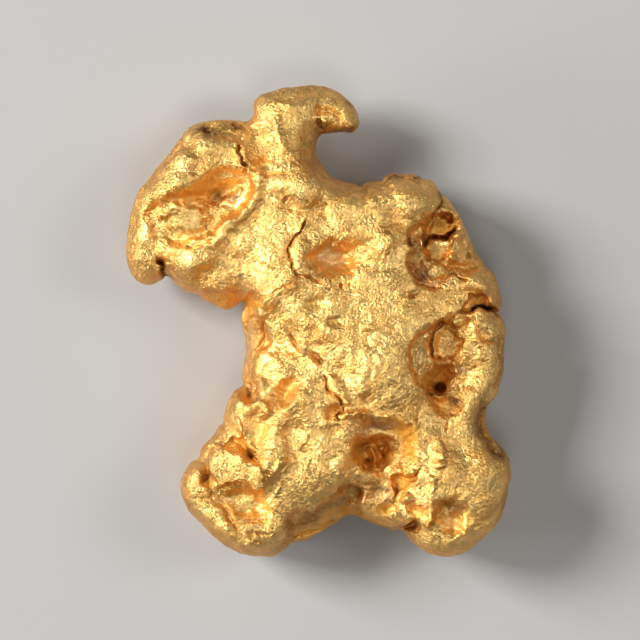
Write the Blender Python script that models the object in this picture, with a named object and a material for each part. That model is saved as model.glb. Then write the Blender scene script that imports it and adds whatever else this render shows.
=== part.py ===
"""A natural gold nugget lying on its back, one solid.

The face is drawn on a sheet that is 470 units from the top of the hook to the soles of the two
feet, x to the right and y down the nugget. Heights are in the same units, up from the table.
"""

import bmesh
import bpy
import numpy as np
import openvdb

# Driving dimensions
nugget_length = 0.0235  # metres, from the hook's crown to the soles
sheet_length = 470.5  # the same length on the sheet
unit = nugget_length / sheet_length  # about 0.05 mm
sheet_middle = (319.0, 321.0)  # the sheet point over the frame's origin
facets = 9000  # triangles in the finished solid
cell = 3.0  # sampling step of the form, in sheet units
block = {"across": (127, 512), "down": (85, 557),
         "up": (-24, 150)}  # the sheet and heights that are sampled
wear_depth = 2.6  # how much of the lowest lumps is worn flat where the nugget rests
lobe_spread = 1.3  # how far each lobe's heights carry, in its reaches
least_front, least_back = 5.0, 8.0  # gold left over and under the girth by the deepest pits
dish_reach, dish_share = 12.0, 0.2  # how far in a patch keeps deepening, and by how much
end_fade, end_height = 0.12, 0.35  # share of a line over which it fades, and how low it starts
narrowest = 2.2  # width of the finest groove that the solid can hold
wanders = {28.0: 0.9, 11.0: 0.6}  # how far the forms' edges stray, for each length that this repeats over
swell_sizes = {70.0: 3.4, 30.0: 1.5}  # height of the random lumps, for each length that they repeat over
wave_mix = (0.7, 1.4)  # shortest and longest wave in a random pattern, as shares of its length
border = 4  # empty steps kept round the outline in the sampled block
front_share = 0.5  # how much of the random lumps the face has
swell_start = 0.8  # height over or under the girth at which the random lumps are full, as a share
gold = (0.83, 0.50, 0.14, 1.0)
gold_roughness = 0.35

# The outline seen from above, clockwise from the crown of the hook
outline_points = [
    (301, 86.5), (316, 85.5), (331, 89.5), (343, 96.5), (352, 104.5), (357.5, 114), (359.5, 122),
    (358, 128), (353.5, 132), (341, 132.5), (328, 133), (320.5, 134.5), (317, 139.5), (314.8, 148),
    (314, 156), (318, 163), (325, 170), (333, 177), (343, 182), (354, 184), (360, 186.5), (366, 183),
    (374, 182), (381.5, 181), (385, 176), (392, 173.5), (401, 175.5), (410, 174), (418, 176.5),
    (424, 179.5), (431, 180), (436, 185.5), (441, 192.5), (447.5, 198), (453.5, 207), (460, 217.5),
    (464.5, 228), (469.5, 240), (475.5, 250), (480, 257.5), (486.5, 266.5), (493.5, 274), (497.5, 284),
    (500.5, 295), (501, 304), (499.5, 310.5), (496.5, 313), (501, 316), (504, 323), (505.8, 332),
    (504.5, 345), (503.5, 360), (502.5, 374), (499.5, 386), (494.5, 395), (489, 403), (486, 410),
    (484.8, 418), (486, 428), (490, 436), (496.5, 443), (502.5, 449.5), (507.5, 456), (510.5, 465),
    (511.5, 476), (508.5, 487), (506.5, 498), (503, 510), (498.5, 520), (492, 528), (483.5, 536),
    (474, 545), (465, 551), (455, 555), (447, 556.5), (436, 555.5), (426, 552), (417, 547), (409, 540),
    (404, 532.5), (398.5, 529.5), (393, 530), (385, 528.5), (374, 525), (363, 520), (355, 517), (348, 516),
    (342.5, 519), (335, 524), (326, 529), (315, 536), (308, 540), (298, 542), (290, 545), (283, 551),
    (274, 555), (262, 556), (252, 555.5), (243, 553.5), (232, 549), (222, 543), (213, 535), (204, 527),
    (196, 519), (188, 510.5), (183, 500), (180.3, 488), (181.8, 477), (187, 468), (193, 461.5),
    (198.5, 458.5), (201.5, 449), (208, 441), (215, 434), (218.5, 427), (223, 423.5), (224, 415),
    (226.5, 407), (229, 400), (234, 392), (239.5, 387.5), (242.5, 385), (242, 378), (242.5, 370),
    (244, 362), (246, 354), (246, 345), (245, 335), (242.5, 329), (241, 320), (241.5, 312), (243.5, 306),
    (241, 301.5), (236, 306), (230, 309.5), (223, 309), (216, 306), (208, 302), (201, 298), (196.5, 293.5),
    (189, 292), (181, 288), (174, 282), (170, 277.8), (166, 276.3), (163, 279.5), (157, 282), (149, 284.5),
    (141, 283), (135, 278), (130, 270), (127.3, 260), (127, 248), (128, 235), (131, 218), (135, 204),
    (140, 192), (149, 181), (156, 170), (163, 161), (171, 152), (176, 145), (181, 139), (184.5, 133.5),
    (190, 128.5), (198, 125), (208, 122.5), (220, 121), (232, 121), (245, 123), (251, 120), (254, 114),
    (254, 106), (256, 100), (263, 95), (272, 92), (280, 89), (290, 87.5),
]


def lobe(at, reach, top, rim, low, front_round, back_round):
    """One swelling of the body: heights of its front, girth and back, and how far its edges round in."""
    return {"at": at, "reach": reach, "values": (top, rim, low, front_round, back_round)}


lobes = {
    "head": lobe((186, 186), 46, 118, 70, 14, 40, 38),
    "finger": lobe((142, 250), 24, 94, 54, 30, 20, 20),
    "chin": lobe((206, 264), 32, 108, 50, 8, 30, 26),
    "hook_stem": lobe((284, 130), 30, 104, 70, 36, 26, 24),
    "hook_tip": lobe((338, 112), 24, 90, 68, 44, 20, 18),
    "upper_body": lobe((335, 205), 50, 126, 60, 6, 26, 44),
    "shoulder": lobe((420, 196), 32, 112, 76, 20, 24, 38),
    "right_brow": lobe((474, 280), 30, 108, 56, 26, 24, 26),
    "right_cheek": lobe((486, 350), 34, 104, 70, 14, 26, 34),
    "right_waist": lobe((458, 425), 28, 110, 52, 20, 22, 30),
    "right_foot": lobe((458, 500), 46, 120, 66, -9, 36, 42),
    "middle": lobe((350, 320), 60, 130, 62, 6, 28, 44),
    "left_waist": lobe((252, 350), 28, 102, 46, 24, 18, 24),
    "lower_middle": lobe((310, 452), 48, 128, 60, 14, 26, 40),
    "left_foot": lobe((218, 494), 44, 108, 62, -11, 30, 38),
    "apron": lobe((374, 506), 30, 92, 46, 22, 18, 24),
    "sole_fold": lobe((318, 528), 20, 90, 44, 18, 14, 22),
}


def dome(at, size, rise, turn=0, flat=0.0):
    """A round lump, or a hollow where rise is negative. flat is the share of it that is level."""
    return {"kind": "dome", "at": at, "size": size, "rise": rise, "turn": turn, "flat": flat}


def path(points, width, rise):
    """A ridge along a line, or a groove where rise is negative."""
    return {"kind": "path", "points": points, "width": width, "rise": rise}


def plate(points, edge, rise, tilt=(0, 0)):
    """A patch raised or sunk inside a closed line, with a bank as wide as edge, and leaning by tilt."""
    return {"kind": "plate", "points": points, "edge": edge, "rise": rise, "tilt": tilt}


def lump(at, radii, rise):
    """A knob on a side of the nugget, or a bite out of it where rise is negative. at has a height too."""
    return {"at": at, "radii": radii, "rise": rise}


head = [
    dome((181, 156), (28, 18), 8, turn=-50),
    dome((158, 186), (20, 14), 5, turn=-62),
    path([(192, 176), (214, 161), (236, 154)], 8, -3),
    plate([(203, 110), (205, 137), (214, 139), (228, 141.5), (243, 142), (249, 130), (252, 110)], 5, -24),
    plate([(163, 202), (178, 194), (196, 185), (214, 176), (232, 169), (247, 173), (253, 184), (252, 200),
           (242, 212), (228, 222), (216, 236), (196, 244), (178, 247), (160, 240), (150, 222), (152, 208)],
           14, -11),
    dome((222, 194), (27, 17), -12, turn=22, flat=0.1),
    dome((216, 197), (9, 10), -6),
    dome((186, 199), (28, 7), -8, turn=12),
    plate([(166, 206), (182, 206), (198, 209), (206, 216), (203, 228), (190, 235), (172, 234), (163, 224)],
           8, 3.5, (0.1, -0.05)),
    path([(166, 206), (178, 204), (192, 206), (203, 211)], 2.2, -3),
    path([(229, 203), (236, 197), (242, 189)], 3, 5),
    dome((163, 216), (6, 7), 6),
    dome((209, 217), (6, 5), 5),
    path([(257, 172), (256, 194), (244, 212), (229, 224), (217, 238), (197, 247), (181, 251)], 8, 5),
    path([(142, 220), (151, 210), (161, 204)], 5, -6),
    path([(250, 171), (257, 166), (267, 162)], 4.5, -6),
]
finger = [
    path([(139, 210), (134, 232), (140, 264)], 9, 6),
    path([(154, 226), (157, 240), (159, 252)], 4, -3),
    path([(160, 258), (163, 269), (164, 281)], 1.7, -22),
    path([(166, 257), (169, 267)], 3.5, 4),
]
chin = [
    dome((186, 268), (36, 18), 7, turn=20),
    plate([(176, 291), (196, 292.5), (210, 291), (226, 290.5), (240, 292), (256, 299), (246, 320),
           (190, 320)], 4, -30),
]
hook = [
    path([(255, 126), (258, 146), (262, 164)], 11, -7),
    path([(292, 100), (296, 130), (298, 158)], 16, 5),
    path([(275, 118), (280, 139), (286, 157)], 5, 5.5),
    path([(239.5, 147), (241.7, 155), (243, 162), (246, 168)], 0.8, -9),
    plate([(250, 82), (254, 105), (264, 97), (275, 100), (288, 103.5), (300, 99), (312, 93), (320, 78)], 5,
           -10),
    path([(316, 108), (324, 110), (332, 113), (340, 121)], 3.4, -6),
    dome((325.5, 124.5), (5.5, 7), 6),
    path([(317.5, 121), (318, 127), (321, 133)], 2.0, -10),
]
upper_body = [
    path([(286, 201), (304, 212), (328, 210)], 7, -4),
    dome((306, 188), (34, 17), 4),
    dome((366, 206), (30, 18), 4, turn=-10),
    dome((388, 184), (13, 6), 5),
    dome((414, 200), (27, 25), 8, flat=0.35),
    path([(436, 188), (438.5, 199), (438, 211), (432, 220)], 1.1, -9),
    plate([(440, 182), (439, 200), (438, 214), (446, 221), (458, 222), (472, 226), (458, 188)], 4, -10),
]
brow_pit = [
    plate([(434, 216), (446, 215), (456, 220), (462, 232), (468, 246), (475, 258), (479, 268), (462, 273),
           (450, 273), (443, 280), (436, 288), (424, 286), (417, 282), (409, 270), (408, 256), (411, 246),
           (409, 236), (414, 227), (424, 219)], 9, -12),
    plate([(430, 218), (444, 216), (455, 221), (457, 229), (449, 238), (449, 250), (444, 258), (434, 260),
           (424, 256), (421, 246), (423, 231)], 6, -19),
    plate([(428, 236), (430, 225), (440, 219), (452, 222), (456, 226), (449, 233), (443, 237), (434, 238)],
           4, 9, (0, 0.3)),
    path([(424.5, 247), (427.3, 240), (436.4, 239), (444, 239.2), (449, 233.8), (456, 229)], 1.0, -12),
    plate([(424, 249), (431, 241), (444, 241), (449, 238), (450, 246), (446, 254), (439, 259), (430, 258)],
           4, 15, (0.1, -0.2)),
    path([(425, 231), (420, 240), (419.5, 251)], 3.2, 7),
    dome((420, 273), (12, 9), -7, turn=-40),
    plate([(427, 271), (431, 266), (438, 265), (444, 270), (442, 277), (435, 280), (429, 277)], 2.5, 11,
           (0.1, 0)),
    dome((458, 237), (8, 10), 10),
    dome((451.5, 258), (5, 8), 9),
    dome((468, 254.5), (4, 3), -7),
    path([(446, 268), (462, 268.5), (483, 267)], 4.5, -8),
]
brow = [
    dome((478, 284), (28, 14), 8, turn=-15),
    dome((455, 288), (18, 9), 4),
    plate([(461, 310), (464, 302), (471, 296), (481, 293.5), (488, 297), (491, 304), (494, 311),
           (480, 306.5), (470, 312)], 3.5, -16),
    path([(470, 310.5), (474, 306.5), (479, 305), (485, 307), (489, 310), (495, 312.5), (502, 313.5)], 1.3,
          -36),
    dome((495, 302), (8, 9), 3),
]
cheek = [
    plate([(473, 316), (479, 311), (490, 312), (502, 317), (505, 328), (503, 338), (494, 343), (484, 341),
           (477, 334)], 3, 4),
    path([(472.5, 316), (474, 326), (478, 335), (484, 341), (493, 343.5), (502, 339)], 1.6, -4),
    dome((483, 333), (11, 8), -4, turn=-40),
    dome((489, 322), (9, 7), 3),
    dome((463, 372), (28, 42), -9),
    plate([(451, 316), (464, 318), (470, 326), (467, 340), (462, 352), (459, 366), (461, 380), (466, 392),
           (465, 400), (460, 409), (450, 414), (441, 411), (433, 403), (425, 392), (416, 383), (411, 373),
           (409, 360), (411, 346), (415, 338), (427, 329), (441, 322)], 10, -9),
    plate([(443, 322), (454, 325), (462, 334), (461, 348), (453, 357), (441, 361), (433, 359), (430, 348),
           (431, 336), (436, 328)], 6, -9),
    path([(444, 321.5), (436.5, 328), (431.5, 336.5), (430.6, 348), (432.3, 360)], 1.1, -10),
    path([(411, 345), (410, 356), (411, 368)], 1.5, -4),
    path([(413, 340), (428, 330.5), (442, 322)], 1.6, -4),
    dome((439, 379), (18, 20), -22, turn=-20, flat=0.2),
    dome((439, 388), (7, 9), -15, turn=-35, flat=0.2),
    path([(450.5, 363), (453, 368), (456.5, 375)], 2.2, 8),
    dome((455, 402), (9, 8), -6),
    plate([(452, 322), (458, 316), (464, 315), (464, 323), (458, 327)], 2, 5, (-0.15, 0.1)),
]
waist_right = [
    plate([(502, 396), (488, 405), (481, 413), (478.5, 422), (480.5, 434), (487, 444), (495, 451),
           (506, 457), (518, 460), (522, 430), (512, 396)], 4, -24),
    path([(486, 403), (478.5, 418), (480.5, 433), (491, 447), (505, 458)], 3.2, -14),
]
heart_pit = [
    dome((386, 448), (44, 38), -12, turn=-15, flat=0.3),
    dome((407, 442), (13, 26), -5, turn=5),
    dome((375, 451), (26, 19), -20, turn=8, flat=0.4),
    dome((374, 427), (28, 10), -5, turn=-3),
    dome((381, 450), (5, 8.5), 14),
    path([(369.5, 445), (372, 455), (375, 465)], 2.8, 11),
    dome((364, 460), (6, 4.5), -8, turn=-30),
    path([(356, 470), (366, 472), (378, 473)], 5, 4),
    path([(345, 413.5), (356, 413), (366, 415.5)], 3.4, 6),
    path([(364, 414), (380, 415), (395, 416), (409, 420.5), (417, 430)], 3, 3),
    plate([(394, 424), (408, 424), (416, 432), (419, 446), (418, 458), (406, 464), (398, 460), (396, 444)],
           9, 3, (0.15, 0)),
    plate([(402, 456), (410, 453), (416, 458), (418, 466), (412, 473), (404, 473), (399, 466)], 2.5, 5,
           (-0.2, 0)),
    plate([(418, 470), (405, 473), (392, 477), (392, 491), (399, 490), (409, 483), (418, 477)], 4, -12),
    path([(393.5, 486), (394, 494), (396, 503)], 1.1, -4),
    plate([(426, 441), (438, 439), (443, 451), (440, 466), (428, 465)], 6, 3, (0.45, 0.1)),
    dome((406, 497), (9, 8), 8),
]
apron = [
    dome((386, 508), (14, 9), -8, turn=15),
    dome((378, 490), (12, 13), -5),
    path([(398, 505), (406, 513), (411, 522)], 6, 3),
    path([(352, 488), (360, 504), (362, 518)], 7, 2.5),
]
right_foot = [
    dome((452, 476), (54, 30), 6),
    dome((450, 516), (27, 25), -14, turn=25),
    dome((446, 503), (13, 9), -6, turn=20),
    path([(434, 474), (431, 487), (430.7, 500), (430.5, 513), (426, 527)], 2.6, 4),
    dome((415, 510), (13, 10), -7),
    dome((484, 507), (10, 14), 5),
    path([(395, 532), (405, 527), (415, 521.5)], 2.8, -60),
    plate([(408, 526), (416, 521.5), (418.5, 526), (413, 531), (407, 531)], 2.4, -14),
    path([(422, 541), (440, 547), (460, 543), (480, 528)], 8, 4),
]
middle = [
    path([(256, 318), (260, 306), (270, 296), (283, 288), (298, 283)], 7, 7),
    dome((384, 362), (62, 60), 9, turn=10),
    path([(330, 375), (334, 386), (341, 394), (348, 402)], 5, 6),
    dome((316, 302), (16, 10), -4),
    dome((272, 303), (15, 8), 4, turn=35),
    dome((336, 322), (17, 9), -5, turn=10),
    dome((314, 331), (9, 10), -4),
    dome((368, 327), (11, 9), 4),
    dome((314, 357), (14, 6), -8, turn=-42),
    dome((319.5, 362.5), (6, 3.5), -6, turn=-48),
    path([(290, 334), (293, 340), (295.5, 347)], 1.6, -6),
    path([(323, 375), (328, 389), (335.7, 396), (340, 401)], 0.9, -7),
    path([(339, 399.5), (344.6, 407), (343, 412), (338, 415), (339, 420)], 1.0, -10),
    dome((332, 410), (13, 11), -8, turn=-20),
    dome((338, 409), (7, 8), -6),
    dome((316, 408), (10, 18), -2),
    dome((402, 300), (30, 16), 3),
]
fold = [
    path([(306, 221), (300.6, 232), (291, 243), (288.6, 255), (291.2, 267), (298, 278)], 1.0, -10),
    path([(297, 279), (291, 283), (285, 286), (275, 292), (260, 299)], 1.3, -5),
    dome((343, 258), (58, 26), -9, turn=-4),
    dome((330, 260), (29, 22), -9, flat=0.3),
    path([(392, 237), (380, 248), (364, 259), (350, 270)], 9, 5),
    dome((303, 257), (17, 27), 7),
]
waist_left = [
    plate([(243, 299), (262, 299), (257, 312), (262, 322), (270, 331), (270, 345), (259, 353), (255, 366),
           (256.6, 385), (259, 398), (250, 403), (236, 386), (230, 340)], 5, -18),
    dome((256, 323), (9, 15), 6),
    path([(250, 355), (251, 372), (250, 387)], 2.4, -5),
    path([(244, 383), (249, 390), (252, 398)], 1.9, -11),
]
knuckle = [
    dome((279, 364), (26, 20), 10, turn=-15),
    dome((286, 392), (25, 13), -13, turn=48),
    path([(311, 377), (308, 390), (298, 401), (286, 412), (277, 428), (269, 447)], 8, 2),
    dome((262, 384), (7, 12), 3),
    plate([(254, 402), (262, 399), (271, 407), (268, 416), (258, 414)], 5, 4, (0.3, 0.1)),
]
shin = [
    plate([(231, 420), (239, 418), (244, 427), (242, 436), (234, 433)], 3, 4, (0.35, 0)),
    dome((237, 400), (8, 10), 4),
    plate([(248, 414), (260, 411), (268, 420), (265, 436), (258, 446), (250, 440), (247, 428)], 10, -4),
    path([(230, 436), (239, 442), (248, 449), (255, 456)], 6.5, -10),
    dome((254, 456), (8, 4.5), -6, turn=-42),
    path([(250, 443), (256, 449), (262, 455)], 4, 3),
    path([(269, 447), (268, 458), (266, 471)], 6, 4),
]
left_foot = [
    path([(203, 463), (190, 474), (187, 490), (197, 507), (211, 521), (229, 536), (247, 546), (264, 549)],
          9, 9),
    path([(199, 459), (208, 462.5), (209, 472), (205, 479), (210, 487), (218, 498), (226, 508.5),
          (232, 518), (237, 524), (241, 527)], 2.6, -5),
    dome((206.5, 477), (5, 12), -3),
    dome((229, 512), (13, 6), -2.5, turn=-52),
    plate([(212, 452), (222, 444), (240, 453), (258, 463), (265, 476), (260, 489), (250, 483), (234, 481),
           (217, 483), (211, 472)], 6, 9),
    dome((247, 502), (31, 18), -9, turn=-5, flat=0.3),
    dome((273, 504), (10, 12), 3),
    dome((256, 532), (14, 3.5), -2),
    dome((190, 505), (4, 5), -6, turn=30),
]
sole = [
    plate([(284, 564), (287, 532), (289, 513), (301, 508.5), (312, 510), (323, 502), (336, 490),
           (350, 484.5), (358, 487), (361, 500), (358, 526), (340, 564)], 8, -28),
    path([(290, 542.5), (313, 537), (331, 527.5), (344, 520.5)], 2.8, 8),
    dome((349, 505), (9, 7), 7),
]
lower_middle = [
    path([(267, 480), (280, 464), (294, 450)], 2.2, 3),
    dome((332, 429), (14, 9), -4),
    dome((338, 458), (12, 18), 4),
    path([(322, 498), (336, 487), (350, 481)], 4, -4),
]
front_relief = [
    *head, *finger, *chin, *hook, *upper_body, *brow_pit, *brow, *cheek, *waist_right, *heart_pit, *apron,
    *right_foot, *middle, *fold, *waist_left, *knuckle, *shin, *left_foot, *sole, *lower_middle,
]

# The back, seen through the front: high values stand out from the back of the nugget
back_relief = [
    dome((196, 196), (50, 40), 10, turn=-30),
    dome((216, 222), (24, 16), -17, turn=-20),
    path([(158, 244), (176, 226), (188, 204), (186, 176), (196, 150)], 6, -9),
    dome((160, 196), (13, 10), -8, turn=50),
    dome((300, 132), (18, 30), 6),
    path([(256, 168), (274, 176), (292, 188), (320, 178)], 6, -12),
    dome((372, 232), (54, 36), 12, turn=12),
    dome((350, 224), (30, 17), -20, turn=30),
    dome((362, 232), (12, 9), -9),
    dome((398, 212), (12, 8), -11, turn=-20),
    path([(396, 276), (418, 262), (440, 240), (446, 216), (456, 200)], 5.5, -14),
    dome((290, 332), (44, 44), 8, turn=20),
    path([(240, 300), (268, 286), (300, 286), (326, 298), (340, 322), (344, 352)], 4.5, -13),
    dome((290, 336), (24, 16), -18, turn=55),
    dome((300, 322), (9, 7), -8),
    dome((426, 334), (44, 36), 9),
    dome((436, 346), (28, 17), -19, turn=-35),
    dome((424, 356), (11, 9), -9),
    dome((408, 314), (8, 7), -10),
    dome((478, 318), (12, 15), -10),
    path([(352, 366), (378, 380), (394, 398), (424, 404), (452, 398), (484, 392)], 5.5, -14),
    dome((370, 442), (34, 28), -20, turn=20),
    dome((376, 440), (13, 9), 10, turn=30),
    dome((352, 456), (14, 10), -8),
    dome((456, 490), (40, 36), 8),
    dome((472, 470), (20, 13), -14, turn=35),
    path([(420, 508), (436, 524), (458, 528), (482, 516)], 4.5, -10),
    dome((236, 482), (42, 34), 8),
    dome((252, 460), (24, 14), -16, turn=-35),
    path([(204, 510), (226, 520), (252, 512), (270, 496), (290, 468)], 5, -12),
    dome((318, 436), (30, 34), 9),
    dome((310, 476), (14, 9), -10, turn=40),
    plate([(262, 392), (300, 378), (330, 384), (318, 404), (284, 416), (258, 408)], 8, -10),
]

# Knobs and bites on the sides, between the face and the back
side_lumps = [
    lump((150, 190, 46), (16, 18, 14), 7), lump((134, 222, 86), (14, 14, 9), -6),
    lump((170, 150, 88), (15, 12, 9), -7), lump((196, 126, 40), (18, 10, 12), 6),
    lump((252, 108, 50), (9, 14, 8), -5), lump((330, 92, 52), (14, 8, 7), -5),
    lump((318, 158, 44), (12, 16, 12), 6), lump((372, 186, 40), (22, 9, 12), -9),
    lump((404, 178, 50), (14, 9, 9), 5), lump((452, 206, 42), (12, 14, 12), -8),
    lump((470, 240, 78), (11, 16, 10), 5), lump((494, 282, 38), (10, 12, 11), 7),
    lump((500, 326, 40), (10, 12, 13), -9), lump((502, 366, 52), (9, 14, 10), 5),
    lump((492, 396, 84), (12, 10, 8), 5), lump((480, 420, 30), (13, 15, 12), -8),
    lump((508, 478, 34), (11, 16, 12), -8), lump((490, 524, 92), (14, 12, 10), 5),
    lump((440, 552, 36), (18, 10, 13), -9), lump((398, 528, 30), (14, 9, 10), 6),
    lump((352, 516, 34), (18, 10, 10), -7), lump((306, 538, 66), (16, 9, 8), -5),
    lump((262, 552, 30), (18, 10, 12), -8), lump((212, 530, 84), (13, 12, 8), 4),
    lump((184, 492, 34), (11, 18, 13), 6), lump((206, 444, 40), (14, 12, 12), -8),
    lump((234, 396, 70), (10, 14, 9), 5), lump((244, 352, 24), (9, 18, 9), -7),
    lump((240, 318, 60), (9, 10, 8), -5), lump((206, 300, 34), (18, 9, 10), -8),
    lump((166, 280, 66), (9, 10, 8), -5), lump((132, 256, 40), (10, 16, 9), -5),
]


def closed_curve(points, steps=4):
    """A smooth closed line through the points, with so many steps from each to the next."""
    p = np.array(points, float)
    before, after, later = np.roll(p, 1, 0), np.roll(p, -1, 0), np.roll(p, -2, 0)
    t = (np.arange(steps) / steps)[None, :, None]
    curve = 0.5 * (
        2 * p[:, None]
        + (after - before)[:, None] * t
        + (2 * before - 5 * p + 4 * after - later)[:, None] * t**2
        + (3 * p - before - 3 * after + later)[:, None] * t**3
    )
    return curve.reshape(-1, 2)


def open_curve(points, steps=6):
    """A smooth line through the points, from the first to the last."""
    p = np.array([points[0], *points, points[-1]], float)
    line = [points[0]]
    for a, b, c, d in zip(p, p[1:], p[2:], p[3:]):
        for t in np.arange(1, steps + 1) / steps:
            bend = (2 * a - 5 * b + 4 * c - d) * t**2 + (3 * b - a - 3 * c + d) * t**3
            line.append(0.5 * (2 * b + (c - a) * t + bend))
    return np.array(line, float)


def distance_to_line(x, y, line):
    """How far each sheet point is from a line, and the share of the line before its nearest point."""
    nearest = np.full(x.shape, 1e9)
    along = np.zeros(x.shape)
    count = len(line) - 1
    for i in range(count):
        (ax, ay), (bx, by) = line[i], line[i + 1]
        dx, dy = bx - ax, by - ay
        t = np.clip(((x - ax) * dx + (y - ay) * dy) / max(dx * dx + dy * dy, 1e-12), 0, 1)
        far = np.hypot(x - ax - t * dx, y - ay - t * dy)
        closer = far < nearest
        nearest = np.where(closer, far, nearest)
        along = np.where(closer, (i + t) / count, along)
    return nearest, along


def depth_inside(x, y, loop):
    """Distance to a closed line, positive inside it and negative outside."""
    ring = np.vstack([loop, loop[:1]])
    far, _ = distance_to_line(x, y, ring)
    inside = np.zeros(x.shape, bool)
    for (ax, ay), (bx, by) in zip(ring, ring[1:]):
        if ay == by:
            continue
        crosses = (ay > y) != (by > y)
        inside ^= crosses & (x < (bx - ax) * (y - ay) / (by - ay) + ax)
    return np.where(inside, far, -far)


def smooth_step(t):
    t = np.clip(t, 0, 1)
    return t * t * (3 - 2 * t)


def dome_height(form, x, y):
    """The dome's height over the sheet, from 0 at its edge."""
    angle = np.radians(form["turn"])
    dx, dy = x - form["at"][0], form["at"][1] - y
    u = (dx * np.cos(angle) + dy * np.sin(angle)) / form["size"][0]
    v = (dy * np.cos(angle) - dx * np.sin(angle)) / form["size"][1]
    return form["rise"] * smooth_step((1 - np.hypot(u, v)) / (1 - form["flat"]))


def path_height(form, x, y):
    """The ridge's or groove's height over the sheet, fading at its two ends."""
    far, along = distance_to_line(x, y, open_curve(form["points"]))
    ends = smooth_step(along / end_fade + end_height) * smooth_step((1 - along) / end_fade + end_height)
    return form["rise"] * ends * np.exp(-((far / max(form["width"], narrowest)) ** 2))


def plate_height(form, x, y):
    """The patch's height over the sheet, with its lean."""
    inside = depth_inside(x, y, closed_curve(form["points"]))
    middle_x, middle_y = np.mean(form["points"], axis=0)
    lean = form["tilt"][0] * (x - middle_x) + form["tilt"][1] * (y - middle_y)
    dished = 1 + dish_share * (1 - 2 * np.exp(-np.maximum(inside, 0) / dish_reach))
    return (form["rise"] * dished + lean) * smooth_step(inside / form["edge"] + 0.5)


def lump_height(form, spot):
    """What a knob or bite adds to the form at each point of the block."""
    steps = zip(spot, form["at"], form["radii"])
    return form["rise"] * np.exp(-sum(((c - middle) / radius) ** 2 for c, middle, radius in steps))


def window_of(form, x, y):
    """The rows and columns of the sheet that a form can reach."""
    if form["kind"] == "dome":
        points, spread = [form["at"]], max(form["size"])
    elif form["kind"] == "path":
        points, spread = form["points"], 3 * form["width"] + 2
    else:
        points, spread = form["points"], form["edge"] + 6
    p = np.array(points, float)
    (left, top), (right, bottom) = p.min(0) - spread, p.max(0) + spread
    near = (x > left) & (x < right) & (y > top) & (y < bottom)
    rows, columns = np.flatnonzero(near.any(1)), np.flatnonzero(near.any(0))
    if not rows.size:
        return slice(0, 0), slice(0, 0)
    return slice(rows[0], rows[-1] + 1), slice(columns[0], columns[-1] + 1)


def relief(forms, x, y):
    """All forms of one side added up, over a grid of sheet points."""
    height_of = {"dome": dome_height, "path": path_height, "plate": plate_height}
    total = np.zeros(x.shape)
    for form in forms:
        rows, columns = window_of(form, x, y)
        part_x, part_y = x[rows, columns], y[rows, columns]
        if part_x.size:
            total[rows, columns] += height_of[form["kind"]](form, part_x, part_y)
    return total


def swells(coordinates, length, seed, waves=24):
    """A smooth random pattern over the coordinates, about 1 high, that repeats over about the length."""
    random = np.random.default_rng(seed)
    total = np.zeros(np.broadcast(*coordinates).shape)
    for _ in range(waves):
        way = random.normal(size=len(coordinates))
        way *= 2 * np.pi / length * random.uniform(*wave_mix) / np.linalg.norm(way)
        total += np.sin(sum(w * c for w, c in zip(way, coordinates)) + random.uniform(0, 2 * np.pi))
    return total * np.sqrt(2 / waves)


def body_values(x, y):
    """Front, girth and back height and the two edge radii at each sheet point, blended from the lobes."""
    total = np.zeros((5, *x.shape))
    weights = np.full(x.shape, 1e-12)
    for swelling in lobes.values():
        dx, dy = x - swelling["at"][0], y - swelling["at"][1]
        weight = np.exp(-(dx * dx + dy * dy) / (lobe_spread * swelling["reach"]) ** 2)
        weights += weight
        for i, value in enumerate(swelling["values"]):
            total[i] += weight * value
    return total / weights


def strayed(x, y):
    """The sheet points shifted a little at random, so that no edge of a form runs true."""
    across, down = x, y
    for length, size in wanders.items():
        across = across + size * swells((x, y), length, seed=int(length))
        down = down + size * swells((x, y), length, seed=int(length) + 1)
    return across, down


def nugget_field():
    """The form on a block of points: above 0 inside the gold, below 0 outside. Axes run x, y down, z."""
    (left, right), (top, bottom) = block["across"], block["down"]
    columns = np.arange(left - border * cell, right + border * cell, cell)
    rows = np.arange(top - border * cell, bottom + border * cell, cell)
    heights = np.arange(*block["up"], cell)
    x, y = np.meshgrid(columns, rows)
    strayed_x, strayed_y = strayed(x, y)
    front, girth, back, front_round, back_round = body_values(x, y)
    front = np.maximum(front + relief(front_relief, strayed_x, strayed_y), girth + least_front)
    back = np.minimum(back - relief(back_relief, strayed_x, strayed_y), girth - least_back)
    inset = depth_inside(x, y, closed_curve(outline_points))
    z = heights[None, None, :]
    above = z > girth[..., None]
    thick = np.where(above, (front - girth)[..., None], (girth - back)[..., None])
    rounding = np.where(above, front_round[..., None], back_round[..., None])
    rim = np.maximum(1 - inset[..., None] / rounding, 0)
    from_girth = np.abs(z - girth[..., None]) / thick
    field = (1 - np.hypot(rim, from_girth)) * thick
    away = smooth_step(from_girth / swell_start)
    spot = (x[..., None], y[..., None], z)
    for length, size in swell_sizes.items():
        field += size * away * np.where(above, front_share, 1) * swells(spot, length, seed=int(length))
    for form in side_lumps:
        field += lump_height(form, spot)
    return field.transpose(1, 0, 2), (columns[0], rows[0], heights[0])


def add_material(obj):
    """Warm satin gold."""
    material = bpy.data.materials.new("gold")
    material.use_nodes = True
    shader = material.node_tree.nodes["Principled BSDF"]
    shader.inputs["Base Color"].default_value = gold
    shader.inputs["Metallic"].default_value = 1.0
    shader.inputs["Roughness"].default_value = gold_roughness
    obj.data.materials.append(material)


def thin_out(obj):
    """Leaves so many triangles, where they show the most."""
    thin = obj.modifiers.new("thin", "DECIMATE")
    thin.ratio = facets / (2 * len(obj.data.polygons))
    thin.use_collapse_triangulate = True
    evaluated = obj.evaluated_get(bpy.context.evaluated_depsgraph_get())
    obj.data = bpy.data.meshes.new_from_object(evaluated)
    obj.modifiers.clear()


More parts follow.
